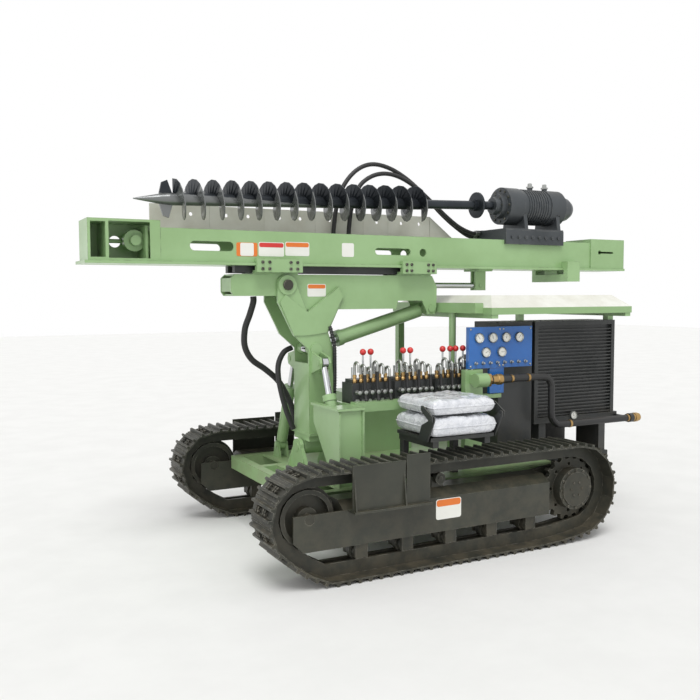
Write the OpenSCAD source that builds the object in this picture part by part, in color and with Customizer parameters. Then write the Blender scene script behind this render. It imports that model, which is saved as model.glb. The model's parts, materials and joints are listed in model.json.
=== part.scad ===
// Small crawler drilling rig for ground piles: mast laid down over the deck, auger on its rotary head.
// Millimetres. +X is forward (the mast's foot), +Y is the operator's side, +Z is up, z = 0 is the floor.
// Lengths along X are given from the middle of the tracks; shift_x moves them to the machine's middle.

/* [Tracks] */
// Width over both tracks
overall_w = 1900; // [1700:10:2100]
// Length over the shoes
track_len = 2465; // [2300:5:2600]
// Width of one shoe
shoe_w = 280; // [220:5:320]
// Number of shoes on each track
shoe_n = 41; // [36:1:46]
// Height of a shoe's ribs
rib_h = 20; // [12:1:26]
// Depth from a shoe's plate to the surface the rollers run on
link_h = 85; // [70:1:90]
// Radius over the shoes at the front wheel
idler_r = 270; // [250:1:290]
// Radius over the shoes at the driving wheel
drive_r = 308; // [290:1:320]

/* [Deck] */
// Height of the deck's top above the floor
deck_z = 451; // [430:1:480]
// Depth of the deck's tubes
deck_h = 90; // [60:1:100]
// Front face of the deck
deck_front = 855; // [840:1:858]
// Rear face of the deck
deck_rear = -1640; // [-1700:5:-1500]

/* [Post] */
// Height of the post's tilting pivot
tilt_z = 600; // [585:1:620]
// Half width over the post's cheeks
cheek_y = 118; // [112:1:124]
// Thickness of a cheek plate
cheek_t = 16; // [10:1:18]
// Distance of the boom's pivot ahead of the middle of the tracks
pivot_x = 747; // [740:1:755]
// Height of the boom's pivot
pivot_z = 1648; // [1640:1:1656]
// Radius of the boom's pivot pin
pivot_r = 32; // [25:1:36]

/* [Mast] */
// Width of the mast's channel
mast_w = 260; // [240:2:280]
// Underside of the mast's bottom flange above the floor
mast_z = 1765; // [1760:1:1775]
// Depth of the mast from the flange's underside to its top
mast_h = 210; // [190:1:230]
// Front end of the mast
mast_front = 1968; // [1900:1:2050]
// Rear end of the mast
mast_rear = -2091; // [-2150:1:-2000]
// Wall of the mast's channel
mast_t = 12; // [8:1:16]

/* [Auger] */
// Radius of the auger's flight
flight_r = 122; // [100:1:124]
// Distance from one turn to the next
flight_pitch = 120; // [100:1:140]
// Number of turns
flight_turns = 14.5; // [10:0.5:15]
// Radius of the auger's core tube
core_r = 38; // [30:1:45]
// Droop of the auger towards its tip, in degrees
droop = 1.8; // [0:0.1:2]

/* [Rotary head] */
// Height of the rotary head's axis above the floor
head_z = 2228; // [2215:1:2240]
// Radius of the rotary head's barrel
head_r = 128; // [110:1:135]

/* [Cylinders] */
// Radius of the boom cylinder's barrel
pitch_r = 48; // [40:1:54]
// Radius of the tilting cylinders' barrels
tilt_r = 38; // [30:1:42]
// Radius of the mast-sliding cylinder's barrel
slide_r = 35; // [30:1:40]

/* [Power pack] */
// Width of the cooler along X
cooler_w = 740; // [600:5:780]
// Height of the cooler's top
cooler_top = 1400; // [1300:5:1420]
// Half width of the canopy
canopy_y = 610; // [560:5:640]

/* [Seat] */
// Width of the seat cushion along X
seat_l = 470; // [420:5:500]
// Depth of the seat cushion along Y
seat_d = 430; // [380:5:440]
// Height of the seat cushion's underside
seat_z = 755; // [740:1:765]

/* [Hidden] */
$fn = 48;

GREEN = [0.60, 0.72, 0.52];
DARK = [0.24, 0.25, 0.21];
BLACK = [0.17, 0.18, 0.19];
STEEL = [0.75, 0.76, 0.76];
CREAM = [0.78, 0.78, 0.72];

shift_x = -(mast_front + mast_rear) / 2;

// Running clearances
pin_gap = 0.05;
seat_gap = 0.3;
swing_gap = 5;

// Tracks: circles over the ribs, as [x, z, radius], anticlockwise seen from the right-hand side
track_h = 647;
track_y = overall_w / 2 - shoe_w / 2;
plate_t = 10;
IDLER = [track_len / 2 - idler_r, track_h - idler_r, idler_r];
DRIVE = [drive_r - track_len / 2, track_h - drive_r - 4, drive_r];
GROUND_REAR = [-700, 170, 170];
GROUND_FRONT = [850, 150, 150];
WHEELS = [GROUND_FRONT, IDLER, DRIVE, GROUND_REAR];

function along(c) = [c[0], c[1]];
// Direction from a circle's centre to the tangent that leaves it for the next circle
function leave(a, b) = atan2(b[1] - a[1], b[0] - a[0]) - acos((a[2] - b[2]) / norm(along(b) - along(a)));
function wrap(a) = a < 0 ? wrap(a + 360) : (a >= 360 ? wrap(a - 360) : a);
function straight(a, b) = sqrt(pow(norm(along(b) - along(a)), 2) - pow(a[2] - b[2], 2));
function wheel(i) = WHEELS[(i + len(WHEELS)) % len(WHEELS)];
function arc_start(i) = leave(wheel(i - 1), wheel(i));
function arc_turn(i) = wrap(leave(wheel(i), wheel(i + 1)) - arc_start(i));
// Lengths are measured on the plate line, inside the ribs
function arc_len(i) = (wheel(i)[2] - rib_h) * arc_turn(i) * PI / 180;
function run_len(i) = arc_len(i) + straight(wheel(i), wheel(i + 1));
function lap(i = 0) = i == len(WHEELS) ? 0 : run_len(i) + lap(i + 1);
// Point at arc length s on the loop offset inwards by e from the ribs' tips
function on_arc(i, a, e) = along(wheel(i)) + (wheel(i)[2] - e) * [cos(a), sin(a)];
function loop_at(s, e, i = 0) =
    s > run_len(i) && i < len(WHEELS) - 1 ? loop_at(s - run_len(i), e, i + 1)
    : s <= arc_len(i) ? on_arc(i, arc_start(i) + arc_turn(i) * s / arc_len(i), e)
    : on_arc(i, arc_start(i) + arc_turn(i), e)
      + (s - arc_len(i)) * [-sin(arc_start(i) + arc_turn(i)), cos(arc_start(i) + arc_turn(i))];
loop_len = lap();
shoe_pitch = loop_len / shoe_n;
// One shoe's outer edge, as [share of the pitch, height above the plate]
RIB = [0.09, 0.05];
SHOE = [[0.04, 0], [0.26 - RIB[0], 0], [0.26 - RIB[1], 1], [0.26 + RIB[1], 1], [0.26 + RIB[0], 0],
    [0.74 - RIB[0], 0], [0.74 - RIB[1], 1], [0.74 + RIB[1], 1], [0.74 + RIB[0], 0], [0.96, 0]];
function shoe_edge(k) = let (
        a = loop_at(k * shoe_pitch, rib_h),
        b = loop_at(((k + 1) % shoe_n) * shoe_pitch, rib_h),
        t = (b - a) / norm(b - a),
        n = [t[1], -t[0]])
    concat([a - 6 * n], [for (p = SHOE) a + p[0] * (b - a) + p[1] * rib_h * n]);
function loop_ring(e) = [for (k = [0 : shoe_n - 1]) loop_at(k * shoe_pitch, e)];
rail_e = rib_h + link_h;
// Half a shoe's angle at a wheel decides how far the rails' flats come in
function rail_r(w) = (w[2] - rail_e) * cos(asin(shoe_pitch / 2 / (w[2] - rib_h)));
roller_r = 40;
roller_z = rail_e + roller_r + seat_gap;
carrier_r = 34;
carrier_z = track_h - rail_e - carrier_r - 3;

// Track frame
frame_out = overall_w / 2 - 50;
frame_in = frame_out - 190;
frame_z0 = 200;
frame_z1 = 403;
frame_rear = -700;
frame_front = 1060;
yoke_x = 760;

// Deck
deck_y = overall_w / 2 - shoe_w - 12;

// Post and boom
beam_y = cheek_y - cheek_t - swing_gap;
beam_t = 12;
beam_top = 1714;
beam_front = 1108;
beam_rear = -340;
column_top = 1150;
COLUMN = [430, 602];
EYE = [550, 1240];
eye_w = 60;
PITCH_PIN = [-335, 1490];
pitch_len = norm(EYE - PITCH_PIN);
pitch_angle = atan2(PITCH_PIN[1] - EYE[1], EYE[0] - PITCH_PIN[0]);
small_pin = 20;
tilt_x = 550;
TILT_FOOT = [470, 535];
TILT_EYE = [225, 1160];
tilt_len = norm(TILT_EYE - TILT_FOOT);

// Slides
rail_top = mast_z - 1;
guide_x = [[664, 966], [-330, -64]];
slide_z = 1650;
slide_eye_x = -800;
slide_mouth = -368;

// Rotary head and auger, whose shank droops from the head's nose
nose_x = -905;
mast_top = mast_z + mast_h;
foot_top = mast_top + 41;
tray_z = mast_top - 40;

// Hoses: routes chosen by hand
FEED_LONG = [[272, -190, 1936], [268, -190, 2040], [246, -190, 2180], [190, -190, 2330], [90, -190, 2440],
    [-30, -190, 2488], [-170, -190, 2470], [-320, -190, 2400], [-470, -190, 2290], [-610, -190, 2170],
    [-730, -190, 2085], [-850, -190, 2020], [-928, -190, 2020]];
FEED_SHORT = [[172, -158, 1936], [168, -158, 2040], [146, -158, 2180], [90, -158, 2320], [0, -158, 2395],
    [-110, -158, 2425], [-230, -158, 2410], [-360, -158, 2350], [-500, -158, 2250], [-630, -158, 2150],
    [-740, -158, 2080], [-850, -158, 2040], [-928, -158, 2040]];
POST_HOSE = [[905, -60, 1577], [905, -60, 1540], [925, -75, 1460], [950, -95, 1370], [945, -115, 1260], [890, -135, 1170],
    [790, -148, 1100], [700, -152, 1020], [645, -152, 930], [605, -150, 840], [585, -148, 760], [580, -148, 701]];

module box(x, y, z) {
    translate([x[0], y[0], z[0]]) cube([x[1] - x[0], y[1] - y[0], z[1] - z[0]]);
}
module boxes(rows) {
    for (r = rows) box([r[0], r[1]], [r[2], r[3]], [r[4], r[5]]);
}
// Outline given as [x, z], between two values of y
module side_plate(points, y) {
    translate([0, y[1], 0]) rotate([90, 0, 0]) linear_extrude(y[1] - y[0]) polygon(points);
}
// Outline given as [y, z], between two values of x
module cross_plate(points, x) {
    translate([x[0], 0, 0]) rotate([90, 0, 90]) linear_extrude(x[1] - x[0]) polygon(points);
}
module rod_x(x, y, z, r) {
    translate([x[0], y, z]) rotate([0, 90, 0]) cylinder(h = x[1] - x[0], r = r);
}
module rod_y(x, y, z, r) {
    translate([x, y[1], z]) rotate([90, 0, 0]) cylinder(h = y[1] - y[0], r = r);
}
module rod_z(x, y, z, r) {
    translate([x, y, z[0]]) cylinder(h = z[1] - z[0], r = r);
}
// Children drawn along +Z, turned to run from p to q
module aim(p, q) {
    d = q - p;
    translate(p) rotate([0, acos(d[2] / norm(d)), atan2(d[1], d[0])]) children();
}
module both_sides() {
    children();
    mirror([0, 1, 0]) children();
}
module near_side(side) {
    mirror([0, side == "left" ? 0 : 1, 0]) children();
}
module rig() {
    translate([shift_x, 0, 0]) children();
}

// Tube swept along a route: one ring of corners at each point, square to the route's plane
function unit(v) = v / norm(v);
function route_dir(p, i) = unit(p[min(i + 1, len(p) - 1)] - p[max(i - 1, 0)]);
function smooth(p, n) = [for (i = [0 : len(p) - 2], k = [0 : n - 1]) let (
        a = p[max(i - 1, 0)], b = p[i], c = p[i + 1], d = p[min(i + 2, len(p) - 1)], t = k / n)
    (2 * b + (c - a) * t + (2 * a - 5 * b + 4 * c - d) * t * t + (3 * b - a - 3 * c + d) * t * t * t) / 2];
module hose(route, r, up = [0, 1, 0], sides = 8) {
    p = concat(smooth(route, 2), [route[len(route) - 1]]);
    ring = [for (i = [0 : len(p) - 1]) let (t = route_dir(p, i), u = unit(cross(t, up)), w = cross(u, t))
        [for (k = [0 : sides - 1]) p[i] + r * (cos(k * 360 / sides) * u + sin(k * 360 / sides) * w)]];
    n = len(p);
    walls = [for (i = [0 : n - 2], k = [0 : sides - 1]) let (m = (k + 1) % sides)
        [i * sides + k, i * sides + m, (i + 1) * sides + m, (i + 1) * sides + k]];
    ends = [[for (k = [sides - 1 : -1 : 0]) k], [for (k = [0 : sides - 1]) (n - 1) * sides + k]];
    polyhedron([for (q = ring, c = q) c], concat(ends, walls), convexity = 6);
}

// Deck
module deck_frame() {
    z = [deck_z - deck_h, deck_z];
    y_out = deck_y;
    tube = 60;
    // Cross members as [front face, width along X]
    cross = [[deck_front, tube], [360, tube], [-260, tube], [-850, tube], [deck_rear + tube, tube]];
    // Set back beside the cooler, behind the track on the operator's side, as [x, y]
    set_back = [-1250, 452];
    color(GREEN) rig() difference() {
        union() {
        both_sides() {
            box([deck_rear, deck_front], [y_out - tube, y_out], z);
            box([deck_rear, deck_front], [190, 190 + tube], z);
        }
        box([deck_rear, set_back[0] + tube], [set_back[1] - tube, set_back[1]], z);
        box([set_back[0], set_back[0] + tube], [190, y_out], z);
        for (c = cross) box([c[0] - c[1], c[0]], [-y_out, y_out], z);
        // Base plate under the post and the tilting cylinders
        box([300, 640], [-y_out, y_out], [deck_z - 12, deck_z]);
        box([300, 700], [-200, 200], [deck_z - deck_h, deck_z]);
        // Floor plate of the power pack and the operator's place
        box([deck_rear, 300], [-y_out, y_out], [deck_z - 8, deck_z]);
        }
        box([deck_rear - 1, set_back[0]], [set_back[1], y_out + 1], [z[0] - 1, z[1] + 1]);
    }
}
module cross_beams() {
    color(DARK) rig() for (x = [-520, 480])
        box([x - 70, x + 70], [-frame_in, frame_in], [deck_z - deck_h - 110, deck_z - deck_h]);
}

// Undercarriage, drawn on the operator's side
module track_frame(side) {
    // Section as [y, z]: outer face, sloping top, inner face
    section = [[frame_out, frame_z0], [frame_out, frame_z1], [frame_out - 70, 450], [frame_in, 450],
        [frame_in, frame_z0]];
    bore = 30;
    color(DARK) rig() near_side(side) difference() {
        union() {
            cross_plate(section, [frame_rear, yoke_x]);
            // Fork round the front wheel
            for (y = [[frame_out - 16, frame_out], [frame_in, frame_in + 16]])
                side_plate([[yoke_x, frame_z0], [frame_front - 60, frame_z0], [frame_front, frame_z0 + 60],
                    [frame_front, frame_z1], [yoke_x, frame_z1]], y);
            // Bracket of the driving motor on the inner side
            side_plate([[frame_rear, frame_z0], [frame_rear, 450], [DRIVE[0] + 60, 470], [DRIVE[0] - 110, 420],
                [DRIVE[0] - 110, 250], [DRIVE[0] + 60, frame_z0]], [frame_in, frame_in + 20]);
            // Post of the top roller
            box([60, 140], [track_y - 20, track_y + 20], [440, carrier_z + 8]);
        }
        rod_y(IDLER[0], [frame_in - 1, frame_out + 1], IDLER[1], bore + pin_gap);
        rod_y(DRIVE[0], [frame_in - 1, frame_in + 21], DRIVE[1], 70);
        rod_y(100, [track_y - 21, track_y + 21], carrier_z, 14 + pin_gap);
    }
}
module track(side) {
    rails = [[24, 44], [-44, -24]];
    color(BLACK) rig() near_side(side) {
        difference() {
            side_plate([for (k = [0 : shoe_n - 1], p = shoe_edge(k)) p], [track_y - shoe_w / 2, track_y + shoe_w / 2]);
            side_plate(loop_ring(rib_h + plate_t), [track_y - shoe_w / 2 - 1, track_y + shoe_w / 2 + 1]);
        }
        for (r = rails) difference() {
            side_plate(loop_ring(rib_h + plate_t - 4), [track_y + r[0], track_y + r[1]]);
            side_plate(loop_ring(rail_e), [track_y + r[0] - 1, track_y + r[1] + 1]);
        }
    }
}
module roller(x, z, r, half) {
    translate([x, track_y, z]) rotate([90, 0, 0]) difference() {
        union() {
            cylinder(h = 2 * half, r = r, center = true);
            cylinder(h = 40, r = r + 10, center = true);
        }
        cylinder(h = 2 * half + 2, r = 14 + pin_gap, center = true);
    }
}
module running_gear(side) {
    wheel_r = rail_r(IDLER) - 1;
    color(DARK) rig() near_side(side) {
        // Front wheel: rim on the rails, web, hub and guiding ridge between the rails
        translate([IDLER[0], track_y, IDLER[1]]) rotate([90, 0, 0]) {
            difference() {
                union() {
                    cylinder(h = 110, r = wheel_r, center = true, $fn = 96);
                    cylinder(h = 40, r = wheel_r + 20, center = true, $fn = 96);
                }
                for (s = [-1, 1]) translate([0, 0, s * 60]) difference() {
                    cylinder(h = 90, r = wheel_r - 26, center = true);
                    cylinder(h = 92, r = 62, center = true);
                }
            }
            cylinder(h = 2 * (track_y - frame_in) - 24, r = 30, center = true);
        }
        // Bottom rollers on their axles, held by end brackets under the frame
        for (i = [0 : 4]) {
            x = -560 + i * 300;
            roller(x, roller_z, roller_r, 52);
            rod_y(x, [track_y - 78, track_y + 78], roller_z, 14);
            for (s = [-1, 1]) difference() {
                box([x - 38, x + 38], [track_y + s * 68 - 10, track_y + s * 68 + 10], [roller_z - 26, frame_z0]);
                rod_y(x, [track_y + s * 68 - 11, track_y + s * 68 + 11], roller_z, 14 - 0.5);
            }
        }
        // Top roller pair on its axle
        rod_y(100, [track_y - 60, track_y + 60], carrier_z, 14);
        for (s = [-1, 1]) rod_y(100, [track_y + s * 40 - 16, track_y + s * 40 + 16], carrier_z, carrier_r);
    }
}
module drive(side) {
    root_r = rail_r(DRIVE) - 12;
    teeth = 19;
    color(DARK) rig() near_side(side) translate([DRIVE[0], track_y, DRIVE[1]]) rotate([90, 0, 0]) {
        difference() {
            union() {
                cylinder(h = 36, r = root_r, center = true, $fn = 96);
                for (k = [0 : teeth - 1]) rotate([0, 0, k * 360 / teeth]) translate([0, 0, -18])
                    linear_extrude(36) polygon([[root_r - 10, -22], [root_r + 26, -8], [root_r + 26, 8],
                        [root_r - 10, 22]]);
            }
            for (k = [0 : 7]) rotate([0, 0, k * 45]) translate([root_r - 34, 0, 0])
                cylinder(h = 40, r = 12, center = true);
        }
        // Final drive: housing towards the outside, stepped cover, and motor through the inner bracket
        translate([0, 0, -84]) cylinder(h = 66, r = 133, $fn = 96);
        translate([0, 0, -92]) cylinder(h = 9, r = 110, $fn = 64);
        translate([0, 0, 17]) cylinder(h = track_y - frame_in - 20 - 17 - seat_gap, r = 105);
        translate([0, 0, 17]) cylinder(h = track_y - 17 - deck_y - 10, r = 69);
    }
}
module step_brackets() {
    y0 = frame_out;
    y1 = overall_w / 2 + 6;
    color(DARK) rig() both_sides() {
        // Tread bolted to the frame, uprights outside the track, with a gusset
        box([236, 735], [y0, y1 + 34], [frame_z1 - 6, frame_z1 + 6]);
        box([400, 735], [y1, y1 + 8], [frame_z1 + 6, 660]);
        box([236, 392], [y1, y1 + 8], [frame_z1 + 6, 690]);
        cross_plate([[y1 + 8, frame_z1 + 6], [y1 + 34, frame_z1 + 6], [y1 + 8, 600]], [404, 412]);
        cross_plate([[y1 + 8, frame_z1 + 6], [y1 + 34, frame_z1 + 6], [y1 + 8, 600]], [720, 728]);
    }
}

// Stand of the post: two pivot brackets, and the towers at the tilting cylinders' feet
module post_stand() {
    bracket = [[-150, deck_z], [150, deck_z], [150, deck_z + 20], [62, tilt_z], [58, tilt_z + 24],
        [40, tilt_z + 46], [0, tilt_z + 56], [-40, tilt_z + 46], [-58, tilt_z + 24], [-62, tilt_z],
        [-150, deck_z + 20]];
    // Bracket plates as [rear face, front face]
    plates = [[COLUMN[0] - 36, COLUMN[0] - 11], [COLUMN[1] + 11, COLUMN[1] + 36]];
    tower_x = [tilt_x - 84, tilt_x + 84];
    lug_t = 16;
    lug_gap = 22;
    color(GREEN) rig() {
        for (x = plates) cross_plate(bracket, x);
        for (x = plates) for (s = [-1, 1])
            translate([0, s * 100, 0]) side_plate([[x[1] < tilt_x ? x[0] : x[1], deck_z],
                [x[1] < tilt_x ? x[0] - 50 : x[1] + 26, deck_z], [x[1] < tilt_x ? x[0] : x[1], deck_z + 90]], [-6, 6]);
        rod_x([COLUMN[0] - 40, COLUMN[1] + 40], 0, tilt_z, 30);
        // Lugs and pins of the tilting cylinders' feet
        both_sides() {
            for (s = [-1, 1]) cross_plate([[TILT_FOOT[0] - 55, deck_z], [TILT_FOOT[0] + 55, deck_z],
                [TILT_FOOT[0] + 26, TILT_FOOT[1] + 20], [TILT_FOOT[0], TILT_FOOT[1] + 32],
                [TILT_FOOT[0] - 26, TILT_FOOT[1] + 20]],
                [tilt_x + s * (lug_gap + lug_t / 2) - lug_t / 2, tilt_x + s * (lug_gap + lug_t / 2) + lug_t / 2]);
            rod_x([tilt_x - lug_gap - lug_t - 6, tilt_x + lug_gap + lug_t + 6], TILT_FOOT[0], TILT_FOOT[1], small_pin);
        }
        // Tower round the operator's side cylinder: two flanges, web and slotted cap
        cross_plate([[548, deck_z], [590, deck_z], [590, 905], [548, 905]], [tower_x[0], tower_x[1]]);
        for (x = [[tower_x[0], tower_x[0] + 12], [tower_x[1] - 12, tower_x[1]]])
            cross_plate([[540, deck_z], [606, deck_z], [606, 890], [590, 905], [250, 905], [250, 800]], x);
        difference() {
            box([tower_x[0], tower_x[1] + 14], [240, 612], [905, 920]);
            box([tilt_x - 60, tilt_x + 60], [200, 450], [900, 925]);
        }
    }
}

// Power pack
module engine_block() {
    color(BLACK) rig() box([-1560, -980], [-420, 90], [deck_z + seat_gap, 1120]);
}
module cooler() {
    x = [-1690, -1690 + cooler_w];
    y = [180, 452];
    z = [deck_z + seat_gap, cooler_top];
    slats = 26;
    pitch = (z[1] - 740 - 40) / slats;
    color(BLACK) rig() {
        difference() {
            box(x, y, [690, z[1]]);
            box([x[0] + 30, x[1] - 30], [y[1] - 26, y[1] + 1], [730, z[1] - 30]);
            box([x[0] + 60, x[1] - 60], [y[0] - 1, y[1] - 60], [760, z[1] - 60]);
        }
        for (k = [0 : slats - 1]) box([x[0] + 30, x[1] - 30], [y[1] - 20, y[1] - 4],
            [738 + k * pitch, 738 + k * pitch + 8]);
        // Feet down to the deck
        for (fx = [x[0] + 60, x[1] - 120]) box([fx, fx + 60], [y[0] + 20, y[1] - 20], [z[0], 690]);
    }
}
module control_cabinet() {
    color(BLACK) rig() box([-925, -640], [180, 450], [deck_z + seat_gap, 1400]);
}
module oil_tank() {
    r = 30;
    color(GREEN) rig() {
        translate([-440, -600, deck_z + seat_gap]) linear_extrude(440) hull() for (x = [r, 560 - r], y = [r, 300 - r])
            translate([x, y]) circle(r = r, $fn = 32);
        rod_z(20, -450, [deck_z + 440, deck_z + 480], 42);
    }
}
module canopy() {
    x = [-1690, -460];
    rim = [1455, 1500];
    top = 1580;
    slope = 130;
    t = 6;
    module hood(inset) hull() {
        translate([x[0] + inset, -canopy_y + inset, rim[1] - 1 - inset])
            cube([x[1] - x[0] - 2 * inset, 2 * (canopy_y - inset), 1]);
        translate([x[0] + inset + slope / 2, -canopy_y + slope + inset, top - 1 - inset])
            cube([x[1] - x[0] - 1.2 * slope - 2 * inset, 2 * (canopy_y - slope - inset), 1]);
    }
    color(CREAM) rig() {
        difference() {
            hood(0);
            hood(t);
        }
        difference() {
            box(x, [-canopy_y, canopy_y], [rim[0], rim[1] - 1]);
            box([x[0] + t, x[1] - t], [-canopy_y + t, canopy_y - t], [rim[0] - 1, rim[1]]);
        }
    }
}
// The green header closes the canopy's front end
under_header = 1462;
module canopy_posts() {
    post = 50;
    x = [-1690 + 6 + seat_gap, -460 - 6 - seat_gap];
    y = canopy_y - 6 - seat_gap;
    z = [1430, 1480];
    color(GREEN) rig() {
        // Posts as [x, y of the side nearer the middle, sign]
        for (px = [x[0], x[1] - post]) box([px, px + post], [-y, -y + post], [deck_z, z[1]]);
        // The near rear post stands on the cooler
        box([x[0], x[0] + post], [390, 390 + post], [cooler_top + seat_gap, z[1]]);
        // Rails across the hood's two ends, and the header
        for (px = [x[0], x[1] - post]) box([px, px + post], [-y, y], z);
        box([-460 + seat_gap, -395], [-520, 520], [under_header + seat_gap, 1530]);
    }
}
module gauge_panel() {
    color([0.12, 0.42, 0.75]) rig() {
        box([-900, -640 + seat_gap], [450 + seat_gap, 480], [1100, 1372]);
        box([-640 + seat_gap, -375], [450 + seat_gap, 480], [1100, 1372]);
        box([-665, -550], [450 + seat_gap, 476], [930, 1100]);
    }
}
module console_frame() {
    color(GREEN) rig() {
        // Rail under the valves, from the tower to the console's post, and the post itself
        box([-486, tilt_x - 84 - seat_gap], [425, 485], [872, 932]);
        box([-486, -346], [440, 485], [deck_z, 1095 - seat_gap]);
        box([-640 + seat_gap, -486], [452 - 12, 485], [900, 926]);
        box([-470, -360], [180, 440], [872, 900]);
        box([-30, 30], [180, 425], [872, 900]);
        box([340, 400], [180, 425], [872, 900]);
        box([-486, tilt_x - 84 - seat_gap], [180, 240], [872, 900]);
        for (x = [-460, 380]) box([x, x + 50], [190, 235], [deck_z, 872]);
        // Upright pipe behind the valves, up to the header of the canopy
        rod_z(-430, 215, [890, under_header], 24);
    }
}
// Valves as [rear end, front end, number of spools]
VALVES = [[170, 440, 2], [-135, 135, 2], [-480, -170, 4]];
valve_y = [262, 400];
module valve_bank() {
    z = [900 + seat_gap, 1040];
    color(BLACK) rig() for (v = VALVES) {
        difference() {
            union() {
                box([v[0], v[1]], valve_y, z);
                box([v[0] + 10, v[1] - 10], [valve_y[0] + 24, valve_y[1] - 24], [z[1] - 1, z[1] + 22]);
            }
            // Joints between the sections
            for (x = [v[0] + 44 : 44 : v[1] - 30]) box([x - 1.5, x + 1.5], [valve_y[1] - 5, valve_y[1] + 1],
                [z[0] - 1, z[1] + 1]);
        }
    }
}
// Lever positions along X
LEVERS = [335, 280, 42, -12, -262, -322, -366, -424];
module valve_levers() {
    foot = 1040 + 22 + seat_gap;
    color(STEEL) rig() {
        for (x = LEVERS) {
            rod_z(x, 345, [foot, 1215], 6);
            rod_z(x, 345, [foot, foot + 44], 15);
            translate([x, 345, 1228]) sphere(r = 19, $fn = 24);
        }
        // Elbow unions behind the levers
        for (v = VALVES, k = [0 : 2]) {
            x = v[0] + 52 + k * 82;
            rod_z(x, 310, [foot, foot + 70], 13);
        }
    }
}
// Route of the air pipe: out of the manifold, down behind the seat, back to its hose coupling
air_y = 585;
air_top = 1035;
air_low = 700;
AIR_PIPE = [[-620 - seat_gap, air_y, air_top], [-780, air_y, air_top], [-900, air_y, air_top], [-955, air_y, air_top - 15],
    [-982, air_y, air_top - 60], [-985, air_y, air_top - 140], [-985, air_y, air_low + 120],
    [-990, air_y, air_low + 55], [-1020, air_y, air_low + 15], [-1075, air_y, air_low], [-1300, air_y, air_low],
    [-1700 + seat_gap, air_y, air_low]];
module air_fittings() {
    color(BLACK) rig() {
        // Manifold and union at the front end, hose coupling at the rear end
        rod_x([-440, -350], air_y, air_top, 45);
        box([-440, -380], [485 + seat_gap, air_y], [air_top - 30, air_top + 30]);
        rod_x([-620, -440], air_y, air_top, 28);
        rod_x([-1735, -1700], air_y, air_low, 32);
        rod_x([-1800, -1735], air_y, air_low, 26);
        // Arm that carries the coupling on the cooler
        box([-1725, -1705], [440, air_y], [air_low - 10, air_low + 10]);
        box([-1725, -1690 - seat_gap], [400, 452], [air_low - 30, air_low + 30]);
    }
}

// Seat, its backrest folded down on the cushion
seat_x = [200 - seat_l, 200];
seat_y = [500, 500 + seat_d];
cushion_h = 118;
hinge_y = seat_y[1] + 15;
hinge_z = seat_z + cushion_h + 3;
hinge_r = 9;
module seat_base() {
    z = [seat_z - 22, seat_z - seat_gap];
    bar = 40;
    color(BLACK) rig() {
        box([seat_x[0] + 10, seat_x[1] - 10], [seat_y[0] + 20, seat_y[1] - 30], z);
        for (x = [seat_x[0] + 30, seat_x[1] - 30 - bar]) {
            box([x, x + bar], [seat_y[0] + 10, seat_y[1] - 40], [z[0] - 40, z[0]]);
            box([x, x + bar], [seat_y[0] + 20, seat_y[0] + 20 + bar], [deck_z, z[0] - 40]);
        }
        // Hinge cheeks at both ends of the cushion, with their pins
        for (s = [0, 1]) {
            x = s == 0 ? [seat_x[0] - 11, seat_x[0] - 3] : [seat_x[1] + 3, seat_x[1] + 11];
            cross_plate([[seat_y[1] - 140, z[0]], [seat_y[1] - 40, z[0]], [hinge_y + 18, hinge_z - 12],
                [hinge_y + 18, hinge_z + 8], [hinge_y + 8, hinge_z + 18], [hinge_y - 8, hinge_z + 18],
                [hinge_y - 26, hinge_z - 8], [seat_y[1] - 100, hinge_z - 50]], x);
            box(s == 0 ? [x[0], seat_x[0] + 20] : [seat_x[1] - 20, x[1]], [seat_y[1] - 130, seat_y[1] - 50], z);
            rod_x(s == 0 ? [x[0] - 16, x[1]] : [x[0], x[1] + 16], hinge_y, hinge_z, hinge_r);
        }
    }
}
module pad(x, y, z, r) {
    hull() {
        box([x[0] + r, x[1] - r], [y[0] + r, y[1] - r], z);
        box(x, y, [z[0] + r, z[1] - r]);
    }
}
module seat_cushion() {
    color([0.93, 0.93, 0.94]) rig() pad(seat_x, seat_y, [seat_z, seat_z + cushion_h], 28);
}
module seat_back() {
    color([0.95, 0.95, 0.96]) rig()
        pad([seat_x[0] + 8, seat_x[1] - 8], [seat_y[0] + 6, seat_y[1] - 6], [hinge_z + 5, hinge_z + 103], 28);
}
module seat_arms() {
    reach = [hinge_y - 90, hinge_z + 50];
    color(BLACK) rig() for (s = [0, 1]) {
        x = s == 0 ? [seat_x[0] - 25, seat_x[0] - 17] : [seat_x[1] + 17, seat_x[1] + 25];
        difference() {
            cross_plate([[hinge_y - 16, hinge_z - 16], [hinge_y + 16, hinge_z - 16], [hinge_y + 16, hinge_z + 14],
                [reach[0] + 12, reach[1] + 16], [reach[0] - 12, reach[1] + 16], [reach[0] - 12, reach[1] - 10]], x);
            rod_x([x[0] - 1, x[1] + 1], hinge_y, hinge_z, hinge_r + pin_gap);
        }
        rod_x(s == 0 ? [x[0], seat_x[0] + 8 - seat_gap] : [seat_x[1] - 8 + seat_gap, x[1]], reach[0], reach[1], 8);
    }
}

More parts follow.
